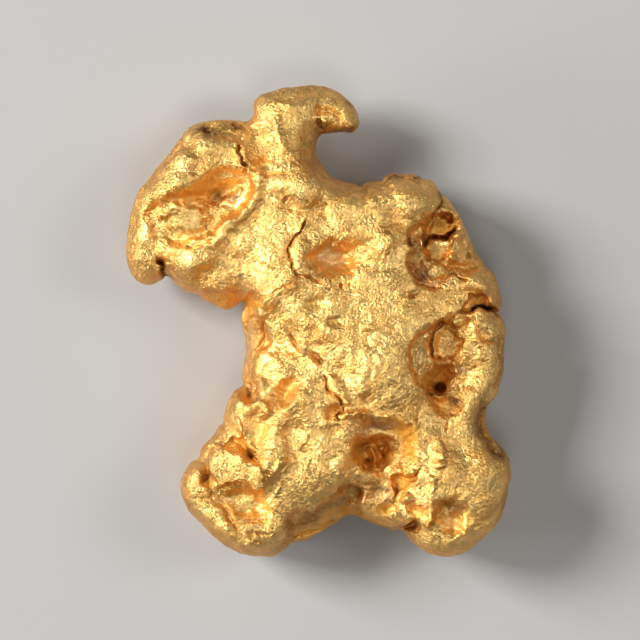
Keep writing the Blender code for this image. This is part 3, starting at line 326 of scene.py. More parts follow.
# Nicks, pinholes, cracks and thin edges too fine for the solid
fineRelief = [
    path(1.8, -4, 186, 249, 200, 246, 213, 242), dome(134.5, 247, 2.4, 5, -5),
    path(1.2, -4, 200, 292.5, 212, 291, 230, 291), path(1.2, -3.5, 246, 166, 247, 175, 249, 181, 251, 188),
    path(1.8, 3, 245, 146, 247, 153), path(1.6, 3, 247, 158, 248, 163), dome(232, 130, 7, 4, 5),
    dome(215, 127, 6, 4, -5), dome(222, 135, 4, 3, -4), dome(240, 126, 5, 4, -4), dome(226, 124, 4, 3, 4),
    path(1.3, -4, 264, 96, 275, 99.5, 289, 104), path(1.4, -3, 266, 91, 280, 94),
    path(1.6, -3, 318, 131.5, 334, 130.5, 352, 130), path(1.5, -3, 344, 107, 349, 113, 352, 120),
    path(1.5, -3, 265, 176, 276, 173, 290, 176), path(1.2, -4, 342.5, 193, 346.5, 197),
    path(1.3, -6, 384, 181, 392, 178, 402, 180), path(1.3, -6, 401, 179, 412, 178, 421, 183),
    dome(410, 193, 1.8, 1.8, -4), path(1.3, -9, 410, 240, 410.5, 246), dome(450, 225, 3, 2.5, -5),
    path(1.3, -5, 417, 283, 426, 285.5, 437, 287.5), path(1.3, 4, 412, 262, 417, 272, 424, 280),
    path(1.2, -4, 420, 262, 426, 271), path(1.2, -4, 414, 270, 421, 279), path(1.2, -4, 431, 285, 438, 288),
    path(1.3, -8, 447, 276, 451, 274, 456, 274.5, 461, 278, 466, 281.5), path(1.2, -4, 472, 247, 476, 252),
    path(1.2, -5, 480, 266, 486, 268, 491, 272), path(1.2, -7, 407.4, 297, 412.4, 297.5, 416.5, 296),
    path(1.5, 2.5, 408, 294, 413, 294.5, 418, 292.5), path(1.8, -5, 458, 313, 464, 312.5, 469, 313),
    path(2.5, -3, 424, 337, 427, 345, 426, 358), dome(440, 357.6, 2.0, 2.0, -9),
    path(1.5, 13, 429, 387, 432, 392, 437, 396, 442, 398), dome(434, 386, 5, 7, -5, -35),
    dome(446, 386, 5, 7, 7), path(1.3, 5, 430, 393, 436, 398, 444, 401), dome(449, 400, 2.6, 2.6, -3),
    dome(457, 402, 5, 5, 4), path(1.3, 2.5, 453, 399, 458, 397, 463, 400),
    path(1.4, -2.5, 464, 315, 466, 324, 471, 331), path(1.4, 5, 493, 409, 486, 421, 488, 434, 500, 447),
    path(1.5, 3, 447, 329, 456, 331, 464, 335), dome(384, 455, 3.2, 4, -7),
    path(1.2, 4, 378, 441, 379, 452), path(1.0, 2, 377, 419, 380, 424), path(1.0, 2, 384, 427, 390, 426),
    path(1.0, -4, 443, 430, 447, 424.5), path(1.6, 1.5, 452, 486, 460, 482, 468, 486),
    path(1.6, 1.5, 466, 489, 476, 487, 484, 492),
    path(1.6, 3, 477, 500, 486, 497, 491, 504, 487, 512, 479, 513), dome(484, 505, 4, 4, -3),
    path(1.2, 4, 407, 524.5, 412, 527.5, 417, 525), path(1.2, -3, 296, 348, 299, 352),
    dome(288, 334, 2, 1.8, -4), path(1.2, -7, 298, 277, 307, 278, 313, 281, 322, 284),
    dome(308, 238, 2.3, 2.8, -7), dome(312, 243, 1.6, 1.6, -4), dome(331, 281, 2.2, 1.8, -8),
    dome(340.5, 286, 2.8, 2.2, -9), dome(348, 287, 1.8, 1.8, -8), dome(343, 280, 1.5, 1.5, -4),
    dome(325, 277, 1.5, 1.5, -4), dome(336, 289.5, 1.6, 1.4, -4), path(1.3, -6, 247, 325, 247.6, 331),
    dome(252, 349, 3.6, 4.2, 5), dome(252, 349, 1.6, 2.0, -6), path(1.3, 3, 270, 329, 269.5, 337),
    path(1.2, -6, 210.8, 446.6, 216, 443, 222, 442), dome(219, 449, 1.8, 1.8, -5),
    dome(201, 470, 1.8, 3, 4), dome(207, 474, 1.6, 2, 4), path(1.4, -3, 238, 519, 250, 521, 268, 516.5),
    path(1.2, -1.2, 246, 529.5, 250, 532, 254, 529), path(1.2, -1.2, 258, 531, 263, 534, 268, 532),
    path(1.4, -1.3, 249, 544, 258, 541, 267, 543), path(1.4, -1.3, 252, 549, 262, 546),
    dome(323.8, 401.8, 3.5, 3, -3), path(1.3, -5, 290, 538, 312, 533, 329, 524, 341, 518),
    path(1.3, 2.5, 284, 470, 296, 452), path(1.4, 3.5, 307.8, 458, 307.5, 469),
    path(1.2, 2, 274, 492, 284, 478), path(1.2, 2, 300, 447, 308, 434),
    path(3.5, 1.2, 353, 340, 350, 360, 351, 380), path(3.5, 1.2, 366, 345, 364, 370, 362, 395),
    path(3, 1, 378, 352, 376, 380, 377, 398), path(3, 1, 340, 350, 338, 366),
    path(3, 1, 390, 370, 388, 398), path(1.4, 2, 262, 304, 272, 295),
    path(1.4, 3, 228, 410, 234, 404, 242, 402), path(1.4, -3, 232, 396, 240, 393),
    path(1.4, -3, 356, 480, 364, 484, 372, 482), path(1.3, -3, 366, 496, 374, 493),
    dome(395, 509, 2, 2, -3), path(2.2, 3.5, 306, 221, 301, 231, 297, 237),
    path(4, -2.5, 294, 238, 287, 248, 286, 258, 289, 268), dome(217, 197, 9, 9, 4),
    path(2.2, 5, 440, 240, 446, 239.5, 451, 235, 456, 229),
    path(2.6, 4, 452, 325, 461, 334, 461, 346, 454, 356), dome(448, 455, 12, 20, 3),
    path(1.8, 2.5, 346, 414, 356, 412.5, 366, 414.5), path(1.6, 2.5, 384, 416.5, 396, 417.5, 408, 421),
    path(2.2, 4, 474, 524, 484, 526, 494, 521, 503, 512), path(2, -4, 478, 531, 490, 527, 500, 520),
    path(5, 2.5, 262, 177, 258, 196, 246, 212, 231, 224, 215, 239), path(3.0, 12, 162, 264, 164, 281),
    path(1.4, -5, 261, 322, 264, 331, 262, 343, 257, 352, 254, 364, 254, 378, 256, 392),
    dome(250, 310, 5, 7, 3), dome(251, 340, 5, 9, 2.5), dome(249, 366, 4, 7, 2),
    path(1.8, -6, 498, 336, 500, 352, 499, 370, 494, 388), path(2, 1.8, 470, 372, 476, 380),
    path(2, 1.8, 468, 352, 474, 360, 472, 368), path(2, 1.8, 478, 350, 482, 360),
    path(2, 1.8, 462, 384, 470, 392), dome(354, 257, 36, 19, -4.5, 22, flat=0.3),
    dome(384, 205, 19, 22, 4.5, flat=0.2), dome(280, 448, 13, 32, 4, flat=0.1),
    path(1.2, -5, 246, 318, 249, 330, 247, 344), path(1.2, -5, 244, 354, 249, 366, 246, 380, 251, 392),
    path(2, 1.8, 471, 340, 478, 345), path(1.6, -2, 464, 360, 466, 370), path(2, 1.5, 474, 388, 480, 396),
]


# The curve from b to c that goes on smoothly to a and d, at t from 0 to 1
def between(a, b, c, d, t):
    return 0.5 * (2 * b + (c - a) * t + (2 * a - 5 * b + 4 * c - d) * t**2 + (3 * b - a - 3 * c + d) * t**3)


def closedCurve(points, steps=4):
    p = np.array(points, float)
    ends = [np.roll(p, shift, 0)[:, None] for shift in (1, 0, -1, -2)]
    return between(*ends, (np.arange(steps) / steps)[None, :, None]).reshape(-1, 2)


def openCurve(points, steps=6):
    p = np.array([points[0], *points, points[-1]], float)
    parts = np.arange(1, steps + 1) / steps
    line = [between(*ends, t) for ends in zip(p, p[1:], p[2:], p[3:]) for t in parts]
    return np.array([p[0], *line])


# How far each sheet point is from a line, and how far along the line its nearest point lies, from 0 to 1
def distanceToLine(x, y, line):
    nearest = np.full(x.shape, 1e9)
    along = np.zeros(x.shape)
    count = len(line) - 1
    for i in range(count):
        (ax, ay), (bx, by) = line[i], line[i + 1]
        dx, dy = bx - ax, by - ay
        t = np.clip(((x - ax) * dx + (y - ay) * dy) / max(dx * dx + dy * dy, 1e-12), 0, 1)
        far = np.hypot(x - ax - t * dx, y - ay - t * dy)
        closer = far < nearest
        nearest = np.where(closer, far, nearest)
        along = np.where(closer, (i + t) / count, along)
    return nearest, along


# Distance to a closed line, positive inside it and negative outside
def depthInside(x, y, loop):
    ring = np.vstack([loop, loop[:1]])
    far, _ = distanceToLine(x, y, ring)
    inside = np.zeros(x.shape, bool)
    for (ax, ay), (bx, by) in zip(ring, ring[1:]):
        if ay == by:
            continue
        crosses = (ay > y) != (by > y)
        inside ^= crosses & (x < (bx - ax) * (y - ay) / (by - ay) + ax)
    return np.where(inside, far, -far)


def smoothStep(t):
    t = np.clip(t, 0, 1)
    return t * t * (3 - 2 * t)


def domeHeight(form, x, y):
    (middleX, middleY), angle = form["points"][0], np.radians(form["turn"])
    dx, dy = x - middleX, middleY - y
    u = (dx * np.cos(angle) + dy * np.sin(angle)) / form["size"][0]
    v = (dy * np.cos(angle) - dx * np.sin(angle)) / form["size"][1]
    return form["rise"] * smoothStep((1 - np.hypot(u, v)) / (1 - form["flat"]))


def pathHeight(form, x, y):
    far, along = distanceToLine(x, y, openCurve(form["points"]))
    fade, tip = shape["lineEnds"]
    ends = smoothStep(along / fade + tip) * smoothStep((1 - along) / fade + tip)
    return form["rise"] * ends * np.exp(-((far / form["width"]) ** 2))


def plateHeight(form, x, y):
    inside = depthInside(x, y, closedCurve(form["points"]))
    middleX, middleY = np.mean(form["points"], axis=0)
    lean = form["tilt"][0] * (x - middleX) + form["tilt"][1] * (y - middleY)
    edgeShare, added, reach = shape["dish"]
    dished = edgeShare + added * (1 - np.exp(-np.maximum(inside, 0) / reach))
    return (form["rise"] * dished + lean) * smoothStep(inside / form["edge"] + 0.5)


# The rows and columns of the sheet that a form can reach
def windowOf(form, x, y):
    p = np.array(form["points"], float)
    (left, top), (right, bottom) = p.min(0) - form["reach"], p.max(0) + form["reach"]
    near = (x > left) & (x < right) & (y > top) & (y < bottom)
    rows, columns = np.flatnonzero(near.any(1)), np.flatnonzero(near.any(0))
    if not rows.size:
        return slice(0, 0), slice(0, 0)
    return slice(rows[0], rows[-1] + 1), slice(columns[0], columns[-1] + 1)


# The heights of all the forms together
def relief(forms, x, y):
    heightOf = {"dome": domeHeight, "path": pathHeight, "plate": plateHeight}
    total = np.zeros(x.shape)
    for form in forms:
        rows, columns = windowOf(form, x, y)
        partX, partY = x[rows, columns], y[rows, columns]
        if partX.size:
            total[rows, columns] += heightOf[form["kind"]](form, partX, partY)
    return total


# A smooth random pattern over two or three coordinates, about 1 high, repeating over about the length
def swells(coordinates, length, seed, waves=24):
    random = np.random.default_rng(seed)
    total = np.zeros(np.broadcast(*coordinates).shape)
    for _ in range(waves):
        way = random.normal(size=len(coordinates))
        way *= 2 * np.pi / length * random.uniform(0.7, 1.4) / np.linalg.norm(way)
        total += np.sin(sum(w * c for w, c in zip(way, coordinates)) + random.uniform(0, 2 * np.pi))
    return total * np.sqrt(2 / waves)


# Front, girth and back height and the two edge radii at each sheet point, blended from the lobes
def bodyValues(x, y):
    total = np.zeros((5, *x.shape))
    weights = np.full(x.shape, 1e-12)
    for middleX, middleY, reach, *values in lobes.values():
        dx, dy = x - middleX, y - middleY
        weight = np.exp(-(dx * dx + dy * dy) / (shape["lobeSpread"] * reach) ** 2)
        weights += weight
        for i, value in enumerate(values):
            total[i] += weight * value
    return total / weights


def lumpHeight(lump, place):
    steps = zip(place, lump[:3], lump[3:6])
    return lump[6] * np.exp(-sum(((c - middle) / radius) ** 2 for c, middle, radius in steps))


# Values on a coarse block of points, read between them on a finer one
def readBetween(values, axis, coarse, fine):
    place = (fine - coarse[0]) / (coarse[1] - coarse[0])
    low = np.clip(np.floor(place).astype(int), 0, len(coarse) - 2)
    share = (place - low).astype(np.float32)
    share = share.reshape([-1 if i == axis else 1 for i in range(values.ndim)])
    first = np.take(values, low, axis)
    return first + (np.take(values, low + 1, axis) - first) * share


# The sheet points shifted a little at random, so that no edge of a form runs true
def strayed(x, y):
    across, down = x, y
    for length, size in shape["wanders"].items():
        across = across + size * swells((x, y), length, seed=int(length))
        down = down + size * swells((x, y), length, seed=int(length) + 1)
    return across, down


# The sheet's height maps, kept for the form and for the masks of the looks
def sheetMaps(step):
    margin = 4 * step
    maps = {}
    for name, (first, last) in (("columns", shape["across"]), ("rows", shape["down"])):
        maps[name] = np.arange(first - margin, last + margin, step)
    x, y = np.meshgrid(maps["columns"], maps["rows"])
    maps["x"], maps["y"] = strayed(x, y)
    front, girth, back, maps["frontRound"], maps["backRound"] = bodyValues(x, y)
    front += relief(frontRelief + fineRelief, maps["x"], maps["y"])
    back -= relief(backRelief, maps["x"], maps["y"])
    maps["girth"] = girth
    maps["front"] = np.maximum(front, girth + shape["leastFront"])
    maps["back"] = np.minimum(back, girth - shape["leastBack"])
    maps["inset"] = depthInside(x, y, closedCurve(outlinePoints))
    return maps


# Above 0 inside the gold and below 0 outside, on a block of points along x, y down and z
def nuggetField(maps, step):
    small = {name: maps[name].astype(np.float32)[..., None]
             for name in ("front", "girth", "back", "frontRound", "backRound", "inset")}
    heights = np.arange(*shape["heights"], step)
    z = heights.astype(np.float32)[None, None, :]
    above = z > small["girth"]
    thick = np.where(above, small["front"] - small["girth"], small["girth"] - small["back"])
    rounding = np.where(above, small["frontRound"], small["backRound"])
    rim = np.maximum(1 - small["inset"] / rounding, 0)
    fromGirth = np.abs(z - small["girth"]) / thick
    field = (1 - np.hypot(rim, fromGirth)) * thick
    share = smoothStep(fromGirth / 0.8) * np.where(above, shape["frontShare"], 1).astype(np.float32)
    del thick, rounding, rim, fromGirth
    fine = (maps["columns"], maps["rows"], heights)
    coarse = [np.arange(line[0], line[-1] + 9, shape["coarseStep"]) for line in fine]
    block = (coarse[0][None, :, None], coarse[1][:, None, None], coarse[2][None, None, :])
    waves = sum(size * swells(block, length, seed=int(length)) for length, size in shape["swells"].items())
    bumps = sum(lumpHeight(lump, block) for lump in sideLumps)
    for values, weight in ((waves, share), (bumps, 1)):
        values = values.astype(np.float32)
        for axis, way in enumerate((1, 0, 2)):
            values = readBetween(values, axis, coarse[way], fine[way])
        field += weight * values
    return field, heights


# A repeatable number from -1 to 1 for each whole cell
def cellNumber(cell, seed):
    h = np.uint64(seed * 2654435761)
    for i, prime in enumerate((73856093, 19349663, 83492791)):
        h = h ^ cell[..., i].astype(np.uint64) * np.uint64(prime)
    h = (h ^ (h >> np.uint64(13))) * np.uint64(1274126177)
    h = (h ^ (h >> np.uint64(16))) & np.uint64(0xFFFF)
    return h.astype(np.float64) / 32767.5 - 1


# Smooth random heights from -1 to 1 over so large a cell
def grain(points, size, seed):
    place = points / size + 1000
    base = np.floor(place).astype(np.int64)
    f = place - base
    f = f * f * f * (f * (f * 6 - 15) + 10)
    total = np.zeros(len(points))
    for corner in np.ndindex(2, 2, 2):
        share = np.prod(np.where(corner, f, 1 - f), axis=1)
        total += share * cellNumber(base + corner, seed)
    return total


# Distance to the nearest of scattered points, in cells, and a random number of that point
def scatter(points, size, seed):
    place = points / size + 1000
    base = np.floor(place).astype(np.int64)
    nearest = np.full(len(points), 9.0)
    number = np.zeros(len(points))
    for offset in np.ndindex(3, 3, 3):
        cell = base + np.array(offset) - 1
        middle = cell + 0.5 + 0.45 * np.stack([cellNumber(cell, seed + i) for i in range(3)], 1)
        far = np.linalg.norm(place - middle, axis=1)
        closer = far < nearest
        nearest = np.where(closer, far, nearest)
        number = np.where(closer, cellNumber(cell, seed + 7), number)
    return nearest, number


texture = {
    "lumps": {34.0: 0.9, 17.0: 0.4, 9.0: 0.24, 5.0: 0.17, 3.0: 0.12},  # cell in sheet units, and height
    "flankLumps": {6.5: 0.5, 4.0: 0.35},  # more of them where the surface is steep
    "dents": [(11.0, 0.55, 0.4, 0.2), (6.5, 0.5, 0.3, 0.3)],  # cell, reach in cells, depth, share left out
    "seeds": (40, 50, 60),  # for the lumps, the flank lumps and the dents
    "steep": (0.75, 0.6),  # upward share of the normal where steepness sets in, and the drop to full
    "calm": 0.7,  # share of the lumps that the smooth patches lose
}

# Patches of the face that are smooth, with how smooth each is
smoothPatches = patches(0.5, [
    (184, 220, 30, 20, 1.0, -10), (205, 190, 44, 18, 0.9, 18), (240, 205, 18, 34, 0.8, -35),
    (330, 262, 36, 20, 0.9), (440, 340, 22, 24, 0.9), (376, 452, 26, 20, 0.8), (452, 514, 30, 24, 0.7),
    (244, 500, 30, 16, 0.8), (300, 125, 34, 34, 0.5), (194, 505, 14, 36, 0.6, 35), (388, 428, 34, 12, 0.7),
    (283, 393, 24, 14, 0.8, 48), (340, 200, 60, 20, 0.4), (435, 250, 16, 14, 0.6), (256, 431, 13, 16, 0.8),
    (238, 412, 12, 22, 0.6), (418, 330, 18, 70, 0.6), (420, 200, 24, 26, 0.5), (384, 500, 28, 20, 0.6),
    (318, 522, 40, 16, 0.7, 22), (458, 240, 16, 22, 0.5), (252, 345, 10, 44, 0.5), (434, 452, 11, 15, 1.0),
])


def steepness(up):
    start, drop = texture["steep"]
    return smoothStep((start - np.abs(up)) / drop)


# Moves the points along their normals by the lumps and dents, less so where it is calm
def roughen(points, normals, calm):
    height = np.zeros(len(points))
    lumpSeed, flankSeed, dentSeed = texture["seeds"]
    for seed, (size, rise) in enumerate(texture["lumps"].items(), lumpSeed):
        height += rise * grain(points, size, seed)
    steep = steepness(normals[:, 2])
    for seed, (size, rise) in enumerate(texture["flankLumps"].items(), flankSeed):
        height += steep * rise * grain(points, size, seed)
    for i, (size, reach, depth, least) in enumerate(texture["dents"]):
        far, number = scatter(points, size, dentSeed + 10 * i)
        height -= depth * np.maximum(number - least, 0) * smoothStep(1 - far / reach)
    height *= 1 - texture["calm"] * np.clip(calm, 0, 1)
    return points + normals * height[:, None]


def vertexNormals(points, quads):
    across = np.cross(points[quads[:, 2]] - points[quads[:, 0]], points[quads[:, 3]] - points[quads[:, 1]])
    normals = np.zeros(points.shape)
    for corner in range(4):
        for axis in range(3):
            normals[:, axis] += np.bincount(quads[:, corner], across[:, axis], len(points))
    return normals / np.maximum(np.linalg.norm(normals, axis=1, keepdims=True), 1e-9)


# Sheet points as metres in the frame, lowered by what is worn off
def toFrame(points):
    place = np.empty(points.shape)
    place[:, 0] = (points[:, 0] - shape["sheetMiddle"][0]) * unit
    place[:, 1] = (shape["sheetMiddle"][1] - points[:, 1]) * unit
    place[:, 2] = (points[:, 2] - shape["wearDepth"]) * unit
    return place


def meshObject(name, points, faces):
    mesh = bpy.data.meshes.new(name)
    mesh.vertices.add(len(points))
    mesh.vertices.foreach_set("co", points.astype(np.float32).ravel())
    corners = faces.shape[1]
    mesh.loops.add(faces.size)
    mesh.loops.foreach_set("vertex_index", faces.astype(np.int32).ravel())
    mesh.polygons.add(len(faces))
    mesh.polygons.foreach_set("loop_start", np.arange(0, faces.size, corners, dtype=np.int32))
    mesh.update(calc_edges=True)
    obj = bpy.data.objects.new(name, mesh)
    bpy.context.scene.collection.objects.link(obj)
    return obj


def thinOut(obj, triangles):
    thin = obj.modifiers.new("thin", "DECIMATE")
    thin.ratio = min(1.0, triangles / (2 * len(obj.data.polygons)))
    thin.use_collapse_triangulate = True
    evaluated = obj.evaluated_get(bpy.context.evaluated_depsgraph_get())
    obj.data = bpy.data.meshes.new_from_object(evaluated)
    obj.modifiers.clear()


# Cuts off what is under the table and closes the cuts
def wearFlat(obj):
    body = bmesh.new()
    body.from_mesh(obj.data)
    everything = [*body.verts, *body.edges, *body.faces]
    bmesh.ops.bisect_plane(body, geom=everything, plane_co=(0, 0, 0), plane_no=(0, 0, 1), clear_inner=True)
    bmesh.ops.holes_fill(body, edges=[edge for edge in body.edges if edge.is_boundary])
    bmesh.ops.triangulate(body, faces=[face for face in body.faces if len(face.verts) > 3])
    body.to_mesh(obj.data)
    body.free()


# A height map blurred over so many sheet units
def blurred(heights, spread, step):
    rows, columns = heights.shape
    fy = np.fft.fftfreq(2 * rows)[:, None]
    fx = np.fft.rfftfreq(2 * columns)[None, :]
    soft = np.exp(-2 * (np.pi * spread / step) ** 2 * (fx * fx + fy * fy))
    wide = np.pad(heights, ((0, rows), (0, columns)), mode="symmetric")
    return np.fft.irfft2(np.fft.rfft2(wide) * soft, wide.shape)[:rows, :columns]


# A height map read at any points of the sheet
def sampleMap(values, maps, x, y):
    step = maps["columns"][1] - maps["columns"][0]
    u = np.clip((x - maps["columns"][0]) / step, 0, values.shape[1] - 1.001)
    v = np.clip((y - maps["rows"][0]) / step, 0, values.shape[0] - 1.001)
    i, j = u.astype(int), v.astype(int)
    s, t = u - i, v - j
    low = values[j, i] * (1 - s) + values[j, i + 1] * s
    high = values[j + 1, i] * (1 - s) + values[j + 1, i + 1] * s
    return low * (1 - t) + high * t


# Where the gold is stained, and where shade and dark reflections are painted in brown and olive, seen from
# the front, each row with its place, size, strength and turn
orangeStain = patches(0.15, [
    (203, 194, 44, 15, 0.5, 18), (224, 182, 26, 15, 0.5, 20), (222, 218, 16, 7, 0.5),
    (259, 164, 16, 9, 0.9, 20), (262, 140, 8, 22, 0.35), (190, 196, 34, 6, 0.35, 12),
    (222, 302, 32, 10, 0.6, -4), (252, 303, 20, 9, 0.9), (250, 322, 10, 26, 0.65), (253, 348, 14, 24, 0.55),
    (284, 393, 26, 15, 0.6, 42), (253, 372, 12, 22, 0.5), (262, 428, 14, 18, 0.6), (253, 444, 12, 10, 0.35),
    (330, 260, 30, 20, 0.45), (368, 252, 18, 8, 0.25), (304, 285, 14, 6, 0.5), (294, 250, 8, 30, 0.3),
    (442, 228, 20, 14, 0.9), (440, 252, 14, 12, 0.35), (458, 226, 10, 8, 0.5), (440, 262, 26, 8, 0.5),
    (470, 258, 16, 10, 0.5), (480, 301, 18, 9, 0.95), (463, 311, 11, 6, 0.9), (484, 338, 14, 8, 0.45),
    (438, 379, 19, 20, 1.0, -20), (458, 334, 13, 9, 0.2), (436, 345, 12, 22, 0.4), (424, 378, 12, 18, 0.3),
    (452, 402, 18, 14, 0.5), (331, 411, 12, 11, 0.8), (312, 358, 12, 9, 0.5, -40),
    (402, 428, 22, 16, 1.3, -20), (409, 446, 14, 27, 1.4), (393, 460, 10, 16, 0.8),
    (404, 481, 17, 13, 1.2, 15), (356, 452, 9, 22, 0.8), (372, 450, 24, 20, 0.45), (390, 500, 14, 18, 0.35),
    (239, 446, 22, 10, 0.8, -38), (206, 478, 9, 20, 0.9), (230, 512, 8, 20, 0.7, 38),
    (258, 519, 24, 3.5, 0.9), (272, 504, 13, 12, 0.35), (240, 488, 24, 8, 0.35),
    (320, 522, 44, 22, 0.65, 22), (346, 508, 14, 10, 0.6), (487, 430, 12, 34, 0.7), (332, 127, 20, 6, 0.5),
    (456, 522, 24, 16, 0.4), (384, 508, 14, 8, 0.6, 15), (372, 514, 30, 12, 0.45, 15),
    (480, 266, 20, 6, 0.3), (408, 236, 9, 20, 0.3),
])
# Brown stain in pits and grooves, and painted shade: the dark strips on the up-facing top edges and along
# the right-hand edges are shade painted brown
brownStain = patches(0.15, [
    (219, 197, 12, 11, 0.45), (199, 131, 18, 6, 0.9, 22), (214, 133, 16, 6, 0.95), (238, 127, 12, 6, 0.6),
    (164, 274, 4, 9, 0.9), (272, 96, 18, 4, 0.55, 16), (255, 106, 6, 5, 0.5), (321, 104, 15, 6, 0.35, -15),
    (322, 128, 10, 5, 0.7), (316, 88, 34, 3, 0.45), (352, 104, 7, 12, 0.5, 30), (396, 179, 12, 4, 0.5),
    (413, 177, 14, 4, 0.6), (440, 200, 5, 20, 0.45, 8), (451, 212, 6, 16, 0.4, 35), (434, 224, 12, 7, 0.4),
    (457, 229, 8, 5, 0.6, 40), (425, 244, 4, 8, 0.7), (415, 254, 7, 9, 0.5), (440, 260, 12, 5, 0.55),
    (434, 266, 12, 6, 0.4), (468, 255, 5, 4, 0.8), (473, 259, 4, 3, 0.7), (478, 297, 13, 5, 0.5, -5),
    (484, 306, 20, 4, 1.0, -14), (462, 311, 8, 4, 0.45), (486, 339, 14, 4, 0.4, -12),
    (437, 389, 9, 11, 0.7, -30), (436, 372, 8, 12, 0.15), (450, 396, 12, 10, 0.4), (457, 402, 6, 5, 0.35),
    (463, 410, 10, 5, 0.4, 40), (338, 410, 5, 9, 0.35, -20), (363, 446, 16, 8, 0.7, 40),
    (381, 449, 6, 8, 0.85), (366, 460, 7, 5, 0.75), (400, 423, 18, 5, 0.4, -25), (394, 438, 5, 8, 0.4),
    (394, 490, 4, 7, 0.3), (251, 453, 10, 5, 0.6, -42), (239, 445, 14, 5, 0.35, -38),
    (204, 475, 6, 13, 0.5), (206, 461, 7, 5, 0.5), (230, 513, 10, 4.5, 0.5, -52), (191, 506, 4, 9, 0.7, 38),
    (252, 531, 12, 4, 0.25), (186, 497, 3, 9, 0.4, 20), (306, 520, 24, 12, 0.75, 22),
    (330, 505, 30, 8, 0.65, 27), (290, 526, 8, 16, 0.5), (496, 412, 6, 14, 0.5), (409, 529, 10, 5, 0.8, 30),
    (448, 503, 18, 8, 0.45, 12), (441, 514, 9, 12, 0.35), (503, 358, 4, 34, 0.6),
    (505, 505, 7, 30, 0.45, -20), (386, 509, 10, 5, 0.35), (263, 386, 5, 10, 0.3), (358, 490, 12, 8, 0.35),
    (345, 487, 14, 5, 0.4, 20), (277, 549, 26, 6, 0.25, 12), (470, 470, 30, 6, 0.3, 15),
    (246, 155, 4, 12, 0.3),
]) + [
    path(3.5, 0.8, 305, 349, 313, 356, 322, 366),
    path(4.0, 1.0, 484, 402, 478.5, 418, 480.5, 434, 491, 448, 505, 458),
    path(3.5, 0.7, 497, 428, 497, 440, 506, 452),
    # Painted shade: dark lines along the up-facing top edges of the head, the brow and the hook
    path(4.5, 0.75, 197, 133, 208, 129, 222, 128, 236, 128, 243, 130),
    path(2.5, 0.7, 384, 180, 396, 176.5, 410, 175.5, 424, 178, 434, 184),
    path(2.2, 0.5, 258, 100, 268, 93, 285, 90.5, 305, 89.5, 325, 91, 340, 97, 350, 108, 355, 120),
]
# Painted reflection: olive patches where the gold would mirror dark surroundings
oliveStain = patches(0.15, [
    (222, 134, 20, 9, 0.8), (205, 134, 14, 7, 0.7), (186, 218, 24, 14, 0.55), (170, 232, 16, 10, 0.4),
    (212, 258, 34, 18, 0.45, -20), (238, 270, 34, 20, 0.4), (246, 224, 22, 12, 0.3),
    (290, 212, 34, 14, 0.5), (330, 214, 38, 12, 0.5), (300, 192, 20, 10, 0.3), (288, 99, 30, 7, 0.5, 8),
    (328, 106, 16, 7, 0.5), (312, 296, 22, 8, 0.5, -20), (316, 310, 12, 10, 0.6),
    (336, 320, 14, 14, 0.7, -40), (388, 310, 16, 20, 0.35), (380, 350, 20, 30, 0.3),
    (402, 376, 14, 34, 0.35), (366, 400, 24, 8, 0.4), (446, 346, 14, 14, 0.75), (418, 400, 16, 14, 0.3),
    (412, 424, 20, 9, 0.4), (440, 247, 12, 10, 0.8), (439, 232, 8, 6, 0.4), (420, 300, 16, 10, 0.3),
    (332, 410, 7, 8, 0.5), (318, 404, 10, 14, 0.6), (334, 432, 22, 14, 0.7), (304, 440, 16, 18, 0.4),
    (312, 486, 26, 10, 0.4, 20), (286, 470, 22, 26, 0.25), (340, 472, 10, 20, 0.35),
    (243, 502, 22, 13, 0.75), (244, 485, 20, 6, 0.5), (262, 544, 24, 9, 0.6), (206, 500, 9, 22, 0.4, 38),
    (408, 462, 9, 9, 0.8), (412, 448, 6, 14, 0.4), (358, 478, 14, 7, 0.4), (252, 432, 8, 12, 0.45),
    (448, 484, 34, 9, 0.65, 8), (430, 540, 26, 8, 0.45), (426, 500, 12, 9, 0.4), (490, 486, 12, 24, 0.3),
    (434, 532, 22, 8, 0.3), (374, 416, 26, 5, 0.5), (490, 328, 11, 10, 0.35), (454, 272, 20, 5, 0.3),
])
greyStain = patches(0.15, [
    (423, 274, 16, 13, 0.75, -30), (328, 258, 26, 17, 0.4), (420, 240, 4, 13, 0.7, -15),
    (413, 243, 5, 12, 0.35), (455, 401, 10, 8, 0.6), (378, 424, 28, 7, 0.75), (360, 430, 12, 6, 0.4),
    (372, 492, 22, 14, 0.35), (236, 199, 13, 5, 0.6, 48), (438, 284, 18, 5, 0.3), (486, 504, 8, 9, 0.2),
    (420, 352, 6, 14, 0.3), (460, 368, 12, 8, 0.3), (250, 345, 9, 46, 0.45), (352, 420, 10, 6, 0.4),
    (460, 504, 18, 10, 0.3),
])

masking = {
    "crackRise": -4.5,  # lines that are deeper and narrower than this are cracks and hold dirt
    "crackWidth": 2.7,
    "crackStain": (12, 0.7),  # depth of full stain, and the most that there is
    "dips": {"hollow": (14.0, 12.0), "crease": (3.5, 3.0)},  # width looked over, and depth of a full one
    "most": 1.6,
}

# The hair-thin cracks, as lines of brown stain
fullDepth, mostStain = masking["crackStain"]
crackStain = [
    {**form, "rise": min(mostStain, -form["rise"] / fullDepth)}
    for form in frontRelief + fineRelief
    if form["kind"] == "path" and form["rise"] < masking["crackRise"]
    and form["width"] < masking["crackWidth"]
]
stains = {
    "orange": orangeStain, "brown": brownStain + crackStain, "olive": oliveStain, "grey": greyStain,
    "calm": smoothPatches,
}


# What forms painted on the face come to at each point
def paintedAt(forms, maps, x, y, z):
    painted = sampleMap(relief(forms, maps["x"], maps["y"]), maps, x, y)
    return painted * (z > sampleMap(maps["girth"], maps, x, y))


def readVectors(collection, name):
    values = np.empty(len(collection) * 3, np.float32)
    collection.foreach_get(name, values)
    return values.reshape(-1, 3)


